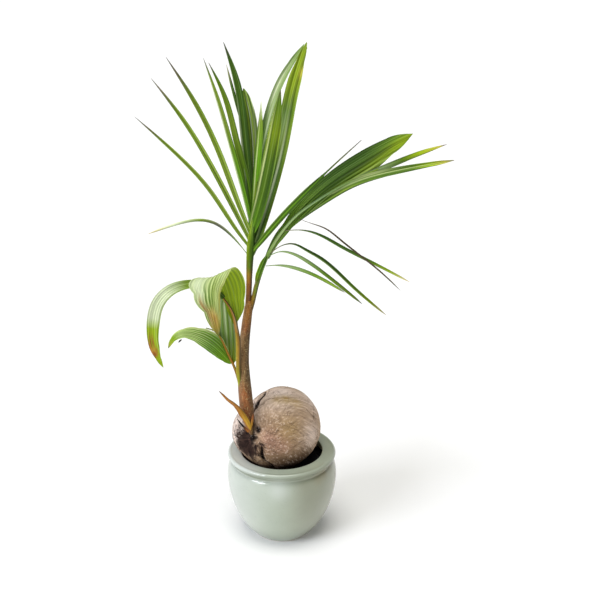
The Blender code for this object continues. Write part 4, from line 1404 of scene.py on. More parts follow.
@dataclass(frozen=True)
class Shoot:
    """The shoot from its foot in the nut to the fork, with the sheath and the spike that clasp its foot."""

    path: Path = Path((
        (-0.0526, -0.0537, 0.2254), (-0.0575, -0.0555, 0.25), (-0.062, -0.051, 0.285),
        (-0.0645, -0.05, 0.324), (-0.0655, -0.047, 0.371), (-0.0618, -0.045, 0.418), (-0.053, -0.042, 0.481)))
    radii: Rows = (
        (0.0, 0.003), (0.08, 0.0075), (0.19, 0.0125), (0.35, 0.012), (0.55, 0.0098), (0.85, 0.0082),
        (0.95, 0.0074), (1.0, 0.0046))
    spike: Path = Path((
        (-0.054, -0.07, 0.244), (-0.0593, -0.0717, 0.2605), (-0.066, -0.073, 0.2735),
        (-0.0754, -0.0735, 0.2886), (-0.0831, -0.0742, 0.2977), (-0.0926, -0.0752, 0.306),
        (-0.1005, -0.0768, 0.316), (-0.1085, -0.079, 0.3263)))
    spike_widths: Rows = (
        (0.0, 0.0012, 0.0012), (0.14, 0.0046, 0.0044), (0.32, 0.006, 0.005), (0.46, 0.0048, 0.004),
        (0.58, 0.0036, 0.003), (0.8, 0.0023, 0.0021), (1.0, 0.0001, 0.0001))
    arm: Path = Path((
        (-0.054, -0.069, 0.244), (-0.0522, -0.0682, 0.254), (-0.0502, -0.0668, 0.264),
        (-0.0486, -0.063, 0.277)))
    arm_widths: Rows = ((0.0, 0.001, 0.001), (0.35, 0.0022, 0.0022), (0.75, 0.0018, 0.0018), (1.0, 0.0, 0.0))
    flake: Path = Path(((-0.0575, -0.065, 0.238), (-0.069, -0.056, 0.2455), (-0.08, -0.042, 0.253)))
    flake_widths: Rows = ((0.0, 0.0024, 0.0024), (0.5, 0.0017, 0.0017), (1.0, 0.0, 0.0))

    def build(self) -> None:
        """Makes the shoot, and the dry sheath round its foot with the spike that it runs out into."""
        tones = ((0.0, Tone.BARK_DARK), (0.08, Tone.BARK_RED), (0.34, Tone.BARK_RED), (0.44, Tone.BARK),
                 (0.74, Tone.BARK), (0.82, Tone.BARK_RED), (0.89, Tone.SPIKE), (1.0, Tone.SPIKE))
        place("shoot_bark", Limb(
            self.path, self.radii, tones, ridge=(0.00016, 11), left=(Tone.TAN, 0.32),
            right=(Tone.BARK_DARK, 0.7), grid=(190, 48), seed=3).skin(), BARK, "shoot")
        coat = plain(
            (0.0, Tone.SHEATH), (0.22, Tone.SHEATH), (0.38, Tone.OCHRE), (0.52, Tone.SPIKE),
            (0.88, Tone.SPIKE), (1.0, Tone.CREVICE), left=Tone.RUST, right=Tone.BARK_DARK, margin=0.45)
        place("sheath_and_spike", Blade(
            self.spike, self.spike_widths, coat, fold=both(-0.45), wave=0.01, thick=0.0009,
            across=(0.93, 0.1, 0.36), grid=(70, 15), seed=4).skin(), SHEATH, "sheath_spike")
        coat = plain((0.0, Tone.SHEATH), (0.35, Tone.OCHRE), (0.7, Tone.BARK_RED), (1.0, Tone.BARK_DARK))
        place("sheath_arm", Blade(
            self.arm, self.arm_widths, coat, fold=both(-0.3), across=(0.93, 0.3, 0.0), grid=(40, 9),
            seed=5).skin(), SHEATH)
        coat = plain((0.0, Tone.RUST), (0.4, Tone.CREVICE), (1.0, Tone.CREVICE))
        place("sheath_flake", Blade(self.flake, self.flake_widths, coat, grid=(20, 7), seed=6).skin(), SHEATH)


@dataclass(frozen=True)
class Leaflet:
    """One leaflet of the upright fan: its height on the rib, its width, its other places and its looks."""

    height: float
    width: float
    places: tuple[Place, ...]
    colouring: Colouring
    fold: float = 0.3
    pleats: float = 0.0
    outline: Outline = Outline.SLIM


NARROW = ((0.0, Tone.OLIVE), (0.8, Tone.OLIVE), (0.92, Tone.WITHERED), (1.0, Tone.DRY_GREY))
FAN = (
    Leaflet(0.574, 0.0072, (
        (-0.073, -0.042, 0.609), (-0.116, -0.051, 0.682), (-0.174, -0.061, 0.752), (-0.231, -0.07, 0.809)),
        Colouring(NARROW, left=Tone.LEAF, margin=0.8)),
    Leaflet(0.584, 0.009, (
        (-0.077, -0.027, 0.64), (-0.12, -0.014, 0.723), (-0.16, -0.002, 0.788), (-0.212, 0.01, 0.855)),
        Colouring(NARROW, left=Tone.LEAF, rib=Tone.DEEP, rib_width=0.1, margin=0.6)),
    Leaflet(0.596, 0.0096, (
        (-0.071, -0.041, 0.661), (-0.1, -0.047, 0.748), (-0.137, -0.054, 0.832), (-0.178, -0.06, 0.902)),
        Colouring(NARROW, rib=Tone.DEEP, rib_width=0.1, right=Tone.LEAF, margin=0.5)),
    Leaflet(0.61, 0.0092, (
        (-0.061, -0.03, 0.676), (-0.082, -0.026, 0.76), (-0.1, -0.023, 0.826), (-0.122, -0.02, 0.893)),
        plain(
            (0.0, Tone.FRESH), (0.35, Tone.FRESH), (0.6, Tone.OLIVE), (0.88, Tone.OLIVE),
            (1.0, Tone.DRY_GREY), left=Tone.SHEEN, right=Tone.DEEP, margin=0.75)),
    Leaflet(0.612, 0.0116, (
        (-0.0562, -0.017, 0.689), (-0.0724, -0.005, 0.755), (-0.089, 0.008, 0.819), (-0.117, 0.02, 0.879)),
        plain(
            (0.0, Tone.FRESH), (0.35, Tone.LEAF), (0.6, Tone.OLIVE), (0.9, Tone.LEAF), (1.0, Tone.DRY_GREY),
            left=Tone.OLIVE, right=Tone.DEEP, margin=0.45)),
    Leaflet(0.616, 0.014, (
        (-0.053, -0.012, 0.705), (-0.06, 0.004, 0.77), (-0.068, 0.02, 0.833), (-0.093, 0.04, 0.909)),
        plain(
            (0.0, Tone.FRESH), (0.2, Tone.DEEP), (0.9, Tone.DEEP), (1.0, Tone.DRY_GREY), left=Tone.BACK,
            rib=Tone.LEAF, rib_width=0.12, margin=0.4, patches=(
                Patch(0.45, -0.85, 0.14, 0.2, Tone.SHEEN, 0.7),)),
        fold=0.45, outline=Outline.BROAD_FOOT),
    Leaflet(0.615, 0.0215, (
        (-0.045, 0.006, 0.709), (-0.048, 0.031, 0.763), (-0.053, 0.046, 0.794), (-0.062, 0.06, 0.828)),
        plain(
            (0.0, Tone.FRESH), (0.3, Tone.OLIVE), (1.0, Tone.OLIVE), right=Tone.SHEEN, rib=Tone.SHEEN,
            rib_width=0.06, margin=0.22, valley=(Tone.DEEP, 1.3, 0.8), patches=(
                Patch(0.55, 0.5, 0.25, 0.07, Tone.SHEEN, 0.7), Patch(0.4, -0.6, 0.35, 0.25, Tone.DEEP, 0.8))),
        pleats=3.0, outline=Outline.BROAD_TIP),
    Leaflet(0.618, 0.0125, (
        (-0.041, -0.026, 0.67), (-0.038, -0.022, 0.708), (-0.032, -0.015, 0.774), (-0.03, -0.01, 0.821)),
        plain(
            (0.0, Tone.FRESH), (0.55, Tone.FRESH), (0.85, Tone.OLIVE), (1.0, Tone.SHEEN), left=Tone.DEEP,
            margin=0.3, patches=(
                Patch(0.45, -0.42, 0.45, 0.16, Tone.CREAM, 1.0),)),
        fold=0.4),
    Leaflet(0.612, 0.0134, (
        (-0.0315, 0.003, 0.736), (-0.017, 0.023, 0.799), (0.003, 0.039, 0.847), (0.041, 0.058, 0.903)),
        plain(
            (0.0, Tone.DEEP), (0.5, Tone.DEEP), (0.66, Tone.BACK), (0.86, Tone.BACK), (1.0, Tone.LEAF),
            right=Tone.LEAF, margin=0.4, patches=(
                Patch(0.74, -0.25, 0.1, 0.3, Tone.SHEEN, 0.85), Patch(0.56, 0.5, 0.1, 0.2, Tone.SHEEN, 0.6))),
        outline=Outline.LATE),
    Leaflet(0.604, 0.0225, (
        (-0.031, -0.042, 0.665), (-0.02, -0.049, 0.715), (-0.004, -0.063, 0.802), (0.003, -0.07, 0.852)),
        plain(
            (0.0, Tone.FRESH), (0.3, Tone.LEAF), (0.5, Tone.LEAF), (0.72, Tone.LIME), (0.92, Tone.LEAF),
            (1.0, Tone.DARK_TIP), valley=(Tone.DEEP, 0.5, 0.3), patches=(
                Patch(0.42, -0.7, 0.45, 0.11, Tone.CREAM, 1.0), Patch(0.42, -0.42, 0.55, 0.1, Tone.DEEP, 0.8),
                Patch(0.3, 0.6, 0.3, 0.35, Tone.DEEP, 0.9), Patch(0.7, 0.05, 0.25, 0.12, Tone.DEEP, 0.6))),
        fold=0.25, pleats=2.0, outline=Outline.BROAD_FOOT),
    Leaflet(0.562, 0.025, (
        (-0.022, -0.022, 0.655), (0.007, -0.005, 0.768), (0.021, 0.006, 0.836), (0.045, 0.02, 0.912)),
        plain(
            (0.0, Tone.DEEP), (0.4, Tone.DEEP), (0.58, Tone.OLIVE), (0.68, Tone.LEAF), (0.8, Tone.LIME),
            (0.95, Tone.LIME), (1.0, Tone.OLIVE), right=Tone.OLIVE, margin=0.35, valley=(Tone.DEEP, 0.8, 0.2),
            patches=(
                Patch(0.62, -0.2, 0.09, 0.3, Tone.BACK, 0.9), Patch(0.4, 0.25, 0.24, 0.12, Tone.SHEEN, 0.7),
                Patch(0.42, -0.55, 0.25, 0.12, Tone.FRESH, 0.6),
                Patch(0.58, -0.85, 0.07, 0.25, Tone.SHEEN, 0.8),
                Patch(0.865, 0.7, 0.025, 0.35, Tone.YELLOW, 1.0))),
        fold=0.3, pleats=2.0, outline=Outline.FULL),
)


@dataclass(frozen=True)
class UprightFrond:
    """The upright frond: its stalk and rib, a fan of leaflets, and the leaflets that stand apart."""

    rib: Path = Path((
        (-0.0582, -0.0425, 0.452), (-0.0555, -0.042, 0.479), (-0.052, -0.038, 0.55), (-0.049, -0.035, 0.59),
        (-0.044, -0.032, 0.64), (-0.038, -0.03, 0.69)))
    radii: Rows = ((0.0, 0.005), (0.28, 0.005), (0.41, 0.006), (0.53, 0.007), (0.66, 0.0045), (1.0, 0.0012))
    stalk_end: float = 0.43
    arched: Path = Path((
        (-0.052, -0.038, 0.559), (-0.071, -0.041, 0.586), (-0.091, -0.044, 0.609), (-0.114, -0.048, 0.625),
        (-0.137, -0.05, 0.629), (-0.167, -0.054, 0.625), (-0.22, -0.06, 0.608)))
    arched_width: float = 0.005
    lone: Path = Path((
        (-0.05, -0.038, 0.565), (-0.017, -0.05, 0.61), (0.012, -0.06, 0.647), (0.044, -0.071, 0.684),
        (0.077, -0.079, 0.72), (0.132, -0.088, 0.775)))
    lone_widths: Rows = (
        (0.0, 0.003, 0.003), (0.25, 0.0052, 0.0052), (0.5, 0.005, 0.005), (0.72, 0.0014, 0.0014),
        (1.0, 0.0005, 0.0005))
    left_strand: Path = Path((
        (-0.056, 0.002, 0.76), (-0.0648, 0.012, 0.7871), (-0.0728, 0.018, 0.8146), (-0.0809, 0.026, 0.8435),
        (-0.0886, 0.034, 0.8735)))
    right_strand: Path = Path((
        (0.03, 0.014, 0.865), (0.0355, 0.016, 0.8806), (0.0413, 0.018, 0.895), (0.0459, 0.02, 0.9038)))

    def build(self) -> None:
        """Makes the stalk, the rib, the fan and the leaflets that stand apart."""
        tones = ((0.0, Tone.BARK), (0.24, Tone.BARK_RED), (0.32, Tone.PETIOLE), (0.38, Tone.LEAF))
        place("stalk_of_upright_frond", Limb(
            self.rib, self.radii, tones, end=self.stalk_end + 0.02, channel=0.2, left=(Tone.PETIOLE, 0.35),
            right=(Tone.BARK_DARK, 0.7), seed=6).skin(), STALK, "stalk_upright")
        place("rib_of_upright_frond", Limb(
            self.rib, self.radii, ((0.0, Tone.LEAF), (1.0, Tone.LEAF)), start=self.stalk_end,
            left=(Tone.LIME, 0.9), right=(Tone.DEEP, 1.0), seed=7).skin(), LEAF, "frond_upright")
        for number, leaflet in enumerate(FAN, 1):
            path = Path((self.rib.at_height(leaflet.height), *leaflet.places))
            place(f"fan_leaflet_{number}", Blade(
                path, leaflet.outline.rows(leaflet.width), leaflet.colouring, fold=both(leaflet.fold),
                pleats=leaflet.pleats, grid=(96, 25 if leaflet.pleats else 15),
                seed=100 + number).skin(), LEAF)
        self.build_spares()
        colouring = plain(
            (0.0, Tone.OLIVE), (0.2, Tone.BACK), (0.4, Tone.DRY_GREY), (0.55, Tone.OLIVE), (0.78, Tone.SHEEN),
            (1.0, Tone.STRAW), left=Tone.DEEP, margin=0.6)
        place("arched_leaflet", Blade(
            self.arched, Outline.WISPY.rows(self.arched_width), colouring, fold=both(0.35),
            seed=121).skin(), LEAF, "leaflet_arched_tip")
        colouring = plain(
            (0.0, Tone.LEAF), (0.6, Tone.DEEP), (0.72, Tone.DEEP), (0.8, Tone.WITHERED), (1.0, Tone.DARK_TIP),
            left=Tone.DEEP, right=Tone.DEEP, rib=Tone.FRESH, margin=0.5)
        place("lone_leaflet", Blade(
            self.lone, self.lone_widths, colouring, fold=both(0.35), seed=122).skin(), LEAF, "leaflet_lone")

    def build_spares(self) -> None:
        """Makes the second tips of two leaflets, where a strand has torn free of the blade."""
        colouring = plain((0.0, Tone.DEEP), (0.7, Tone.DEEP), (1.0, Tone.WITHERED), left=Tone.SHEEN)
        place("fan_strand_left", Blade(
            self.left_strand, Outline.SLIM.rows(0.006), colouring, seed=131).skin(), LEAF)
        place("fan_strand_right", Blade(
            self.right_strand, Outline.SLIM.rows(0.005), plain((0.0, Tone.LIME), (1.0, Tone.OLIVE)),
            seed=132).skin(), LEAF)


@dataclass(frozen=True)
class RightFrond:
    """The right frond: its stalk and rib, a fused upper half, a lower half and drooping leaflets."""

    rib: Path = Path((
        (-0.0555, -0.043, 0.452), (-0.048, -0.043, 0.479), (-0.04, -0.045, 0.513), (-0.032, -0.047, 0.539),
        (-0.015, -0.05, 0.578), (0.005, -0.053, 0.611), (0.029, -0.057, 0.64), (0.059, -0.06, 0.664),
        (0.11, -0.065, 0.697), (0.161, -0.07, 0.722)))
    radii: Rows = ((0.0, 0.004), (0.08, 0.0042), (0.24, 0.0038), (0.4, 0.0026), (1.0, 0.0012))
    stalk_end: float = 0.235
    fused: Path = Path((
        (-0.013, -0.05, 0.581), (0.014, -0.052, 0.623), (0.054, -0.053, 0.669), (0.1, -0.055, 0.707),
        (0.148, -0.057, 0.739), (0.18, -0.059, 0.76), (0.217, -0.06, 0.779)))
    fused_widths: Rows = (
        (0.0, 0.004, 0.004), (0.15, 0.007, 0.009), (0.45, 0.014, 0.017), (0.68, 0.0165, 0.023),
        (0.86, 0.012, 0.015), (1.0, 0.0, 0.0))
    lower: Path = Path((
        (-0.022, -0.05, 0.562), (0.001, -0.047, 0.604), (0.029, -0.048, 0.633), (0.069, -0.054, 0.664),
        (0.116, -0.066, 0.696), (0.163, -0.082, 0.717), (0.21, -0.098, 0.732), (0.279, -0.11, 0.748)))
    lower_widths: Rows = (
        (0.0, 0.004, 0.004), (0.15, 0.007, 0.0075), (0.4, 0.007, 0.0085), (0.7, 0.0058, 0.0062),
        (0.9, 0.0038, 0.004), (1.0, 0.0004, 0.0004))
    upper_tip: Path = Path((
        (0.13, -0.066, 0.707), (0.181, -0.066, 0.728), (0.221, -0.063, 0.744), (0.272, -0.06, 0.761)))
    upper_tip_width: float = 0.0095
    clasp: Path = Path((
        (-0.0235, -0.054, 0.566), (-0.031, -0.053, 0.548), (-0.0375, -0.052, 0.53), (-0.0425, -0.049, 0.513)))
    clasp_widths: Rows = (
        (0.0, 0.0015, 0.0015), (0.3, 0.0048, 0.0048), (0.62, 0.005, 0.005), (1.0, 0.0004, 0.0004))

    def build(self) -> None:
        """Makes the stalk, the rib, the blades and the drooping leaflets."""
        tones = ((0.0, Tone.BARK), (0.08, Tone.PETIOLE), (0.14, Tone.OLIVE), (0.24, Tone.OLIVE))
        place("stalk_of_right_frond", Limb(
            self.rib, self.radii, tones, end=self.stalk_end + 0.01, channel=0.2, left=(Tone.BARK_RED, 0.5),
            right=(Tone.BARK_DARK, 0.8), seed=8).skin(), STALK, "stalk_right")
        tones = ((0.0, Tone.OLIVE), (0.3, Tone.LEAF), (0.42, Tone.BACK), (0.7, Tone.BLUISH),
                 (1.0, Tone.OLIVE))
        place("rib_of_right_frond", Limb(
            self.rib, self.radii, tones, start=self.stalk_end, grid=(120, 22),
            seed=9).skin(), LEAF, "frond_right")
        colouring = plain(
            (0.0, Tone.LEAF), (0.3, Tone.LEAF), (0.5, Tone.DEEP), (0.72, Tone.DEEP), (0.9, Tone.LEAF),
            (1.0, Tone.LIME), left=Tone.DEEP, margin=0.15, valley=(Tone.DEEP, 0.9, 0.5), patches=(
                Patch(0.8, 0.65, 0.2, 0.45, Tone.LIME, 0.6), Patch(0.93, 0.35, 0.08, 0.55, Tone.SPRING, 0.7)))
        place("fused_leaflets", Blade(
            self.fused, self.fused_widths, colouring, fold=both(0.0), pleats=8.0, wave=0.012,
            steep=((0.0, 0.55), (0.4, 0.5), (0.8, 0.3), (1.0, 0.15)), grid=(130, 97), seed=141).skin(), LEAF)
        colouring = plain(
            (0.0, Tone.BACK), (0.24, Tone.BACK), (0.38, Tone.LEAF), (0.5, Tone.OLIVE), (0.6, Tone.LEAF),
            (0.82, Tone.LEAF), (0.9, Tone.SPRING), (0.96, Tone.YELLOW), (1.0, Tone.WITHERED), right=Tone.DEEP,
            margin=0.5, rib=Tone.CREAM, rib_width=0.07, valley=(Tone.DEEP, 0.8, 0.6), patches=(
                Patch(0.48, -0.2, 0.12, 0.35, Tone.BACK, 1.0),
                Patch(0.64, -0.7, 0.09, 0.45, Tone.CREAM, 0.5)))
        place("lower_leaflet", Blade(
            self.lower, self.lower_widths, colouring, fold=both(0.25), pleats=2.5, wave=0.012,
            steep=((0.0, 0.7), (0.4, 0.5), (0.7, 0.2), (1.0, 0.1)), grid=(140, 31), seed=142).skin(), LEAF)
        colouring = plain(
            (0.0, Tone.BACK), (0.3, Tone.BACK), (0.5, Tone.LEAF), (0.7, Tone.SPRING), (0.93, Tone.YELLOW),
            (0.96, Tone.WITHERED), (1.0, Tone.DARK_TIP), right=Tone.DEEP, margin=0.5)
        place("middle_leaflet", Blade(
            self.upper_tip, Outline.SLIM.rows(self.upper_tip_width), colouring, fold=both(0.3),
            seed=143).skin(), LEAF)
        self.build_drooping()
        colouring = plain(
            (0.0, Tone.LEAF), (0.5, Tone.FRESH), (0.85, Tone.LIME), (1.0, Tone.STRAW), left=Tone.DEEP,
            right=Tone.LIME, margin=0.5, valley=(Tone.DEEP, 0.9, 0.6))
        place("stalk_clasp", Blade(
            self.clasp, self.clasp_widths, colouring, fold=both(-0.45), pleats=2.0, across=(-0.93, 0.1, 0.3),
            grid=(50, 21), seed=144).skin(), LEAF)

    def build_drooping(self) -> None:
        """Makes the leaflets that droop from the rib, and the dry strand."""
        dark = plain(
            (0.0, Tone.WITHERED), (0.2, Tone.DEEP), (0.52, Tone.DEEP), (0.7, Tone.LEAF), (0.85, Tone.LIME),
            (1.0, Tone.STRAW), right=Tone.BACK, margin=0.5)
        light = plain(
            (0.0, Tone.BACK), (0.3, Tone.BACK), (0.6, Tone.LEAF), (0.9, Tone.OLIVE), (1.0, Tone.DRY_GREY),
            left=Tone.DEEP, right=Tone.LEAF, margin=0.5)
        dry = plain((0.0, Tone.BARK_DARK), (0.6, Tone.BARK_DARK), (1.0, Tone.DARK_TIP))
        drooping = {
            "leaflet_drooping_1": (0.0056, dark, (
                (0.01, -0.055, 0.612), (0.034, -0.062, 0.6155), (0.059, -0.069, 0.6125), (0.1, -0.083, 0.595),
                (0.15, -0.099, 0.573), (0.214, -0.12, 0.545))),
            "leaflet_drooping_2": (0.006, dark, (
                (-0.0145, -0.051, 0.572), (0.005, -0.051, 0.585), (0.022, -0.05, 0.587),
                (0.042, -0.048, 0.577), (0.068, -0.044, 0.56), (0.12, -0.038, 0.51), (0.184, -0.03, 0.449))),
            "leaflet_drooping_3": (0.0062, light, (
                (-0.018, -0.051, 0.566), (0.0, -0.056, 0.575), (0.017, -0.061, 0.575), (0.042, -0.068, 0.565),
                (0.084, -0.082, 0.538), (0.138, -0.1, 0.498))),
            "leaflet_drooping_4": (0.006, light, (
                (-0.024, -0.049, 0.547), (-0.004, -0.058, 0.5515), (0.017, -0.068, 0.5525),
                (0.042, -0.08, 0.549), (0.067, -0.093, 0.542), (0.108, -0.114, 0.524))),
            "leaflet_dry_strand": (0.003, dry, (
                (0.028, -0.058, 0.636), (0.052, -0.07, 0.63), (0.075, -0.08, 0.6245), (0.1, -0.092, 0.609),
                (0.133, -0.106, 0.586), (0.166, -0.118, 0.562), (0.199, -0.126, 0.532))),
        }
        for number, (node, (width, colouring, places)) in enumerate(drooping.items()):
            finish = SHEATH if node == "leaflet_dry_strand" else LEAF
            place(f"{node}_blade", Blade(
                Path(places), Outline.WISPY.rows(width), colouring, fold=both(0.35), rib=0.0002,
                seed=150 + number).skin(), finish, node)


@dataclass(frozen=True)
class UpperLeaf:
    """The upper left leaf: one lobe rises, folds over and hangs in front, and the other arches away."""

    rib: Path = Path((
        (-0.071, -0.054, 0.318), (-0.074, -0.06, 0.36), (-0.073, -0.067, 0.416), (-0.076, -0.071, 0.447),
        (-0.082, -0.073, 0.473), (-0.098, -0.075, 0.501)))
    radii: Rows = ((0.0, 0.003), (0.2, 0.004), (0.5, 0.0043), (0.7, 0.003), (1.0, 0.0012))
    stalk_end: float = 0.62
    near: Path = Path((
        (-0.078, -0.068, 0.449), (-0.085, -0.071, 0.495), (-0.094, -0.078, 0.531), (-0.103, -0.092, 0.548),
        (-0.112, -0.107, 0.535), (-0.112, -0.119, 0.502), (-0.1015, -0.13, 0.451)))
    near_widths: Rows = (
        (0.0, 0.003, 0.003), (0.18, 0.01, 0.023), (0.36, 0.018, 0.033), (0.46, 0.026, 0.031),
        (0.53, 0.037, 0.021), (0.6, 0.046, 0.0175), (0.67, 0.0315, 0.0155), (0.8, 0.0155, 0.012),
        (1.0, 0.0, 0.0))
    near_fold: Rows = (
        (0.0, 0.0, 0.0), (0.28, 0.1, 0.0), (0.45, 0.35, 0.0), (0.66, 0.35, 0.0), (0.76, 0.1, 0.0),
        (1.0, 0.0, 0.0))
    near_steep: Rows = ((0.0, 0.8), (0.25, 0.15), (0.45, 0.15), (0.6, 0.6), (0.72, 1.0), (1.0, 1.0))
    near_across: Place = (0.93, 0.0, 0.36)
    far: Path = Path((
        (-0.095, -0.078, 0.5), (-0.123, -0.075, 0.521), (-0.152, -0.073, 0.523), (-0.183, -0.071, 0.513),
        (-0.207, -0.069, 0.489), (-0.2185, -0.066, 0.451), (-0.22, -0.064, 0.416), (-0.214, -0.062, 0.385),
        (-0.205, -0.06, 0.361)))
    far_widths: Rows = (
        (0.0, 0.004, 0.004), (0.2, 0.006, 0.007), (0.6, 0.012, 0.011), (0.8, 0.009, 0.0095),
        (0.92, 0.004, 0.005), (1.0, 0.0, 0.0))

    def build(self) -> None:
        """Makes the stalk, the rib and the two lobes."""
        place("stalk_of_upper_leaf", Limb(
            self.rib, self.radii, ((0.0, Tone.LIME), (0.3, Tone.PETIOLE), (1.0, Tone.OCHRE)),
            end=self.stalk_end + 0.02, channel=0.3, left=(Tone.YELLOW, 0.4), right=(Tone.BARK_DARK, 0.8),
            seed=10).skin(), STALK, "stalk_upper_left")
        place("rib_of_upper_leaf", Limb(
            self.rib, self.radii, ((0.0, Tone.OCHRE), (0.85, Tone.OCHRE), (1.0, Tone.RUST)),
            start=self.stalk_end, right=(Tone.BARK_DARK, 0.9), left=(Tone.RUST, 0.5),
            seed=11).skin(), PALE_LEAF, "leaf_upper")
        stripes = (Patch(0.74, valley, 0.11, 0.06, Tone.LEAF, 1.3) for valley in (-0.3, -0.1, 0.1))
        # The part that hangs in front is pale: painted sheen off its waxy face, with dry brown patches.
        colouring = plain(
            (0.0, Tone.LIME), (0.22, Tone.SPRING), (0.44, Tone.SPRING), (0.5, Tone.CREAM), (0.86, Tone.CREAM),
            (0.92, Tone.AMBER), (0.97, Tone.RUST), (1.0, Tone.DARK_TIP), valley=(Tone.LEAF, 0.35, 1.15),
            patches=(
                Patch(0.7, 0.6, 0.12, 0.28, Tone.CREAM, 1.0), Patch(0.74, 0.95, 0.2, 0.14, Tone.YELLOW, 0.8),
                Patch(0.62, -0.62, 0.14, 0.34, Tone.SHEEN, 0.9),
                Patch(0.68, 0.15, 0.14, 0.35, Tone.SPRING, 0.3), *stripes,
                Patch(0.83, -0.05, 0.05, 0.3, Tone.AMBER, 1.0), Patch(0.815, 0.1, 0.03, 0.3, Tone.CREAM, 0.5),
                Patch(0.87, 0.3, 0.06, 0.4, Tone.AMBER, 0.7), Patch(0.84, -0.45, 0.09, 0.2, Tone.RUST, 0.8),
                Patch(0.87, 0.05, 0.06, 0.1, Tone.BARK_RED, 0.8),
                Patch(0.75, -0.66, 0.06, 0.12, Tone.RUST, 0.8)))
        place("near_lobe", Blade(
            self.near, self.near_widths, colouring, fold=self.near_fold, pleats=10.0, across=self.near_across,
            steep=self.near_steep, wave=0.006, grid=(140, 121),
            seed=161).skin(), PALE_LEAF, "leaf_upper_near_lobe")
        # The middle of the far lobe is pale: painted sheen off its waxy face.
        colouring = plain(
            (0.0, Tone.DEEP), (0.12, Tone.LEAF), (0.27, Tone.OLIVE), (0.42, Tone.SHEEN), (0.62, Tone.SHEEN),
            (0.7, Tone.SPRING), (1.0, Tone.SPRING), valley=(Tone.LEAF, 0.4, 0.3), left=Tone.OLIVE,
            margin=0.35, patches=(
                Patch(0.8, 0.1, 0.055, 0.18, Tone.RUST, 0.9), Patch(0.8, 0.55, 0.06, 0.14, Tone.RUST, 1.2),
                Patch(0.84, 0.9, 0.06, 0.2, Tone.RUST, 1.3), Patch(0.865, 0.45, 0.03, 0.45, Tone.AMBER, 1.0),
                Patch(0.865, -0.25, 0.03, 0.25, Tone.RUST, 0.9),
                Patch(0.885, 0.5, 0.02, 0.55, Tone.RUST, 1.3),
                Patch(0.895, 0.95, 0.01, 0.2, Tone.DARK_TIP, 0.9)))
        place("far_lobe", Blade(
            self.far, self.far_widths, colouring, fold=both(0.0), pleats=6.0, wave=0.012,
            steep=((0.0, 0.7), (0.4, 0.35), (1.0, 0.4)), grid=(120, 73),
            seed=162).skin(), PALE_LEAF, "leaf_upper_far_lobe")


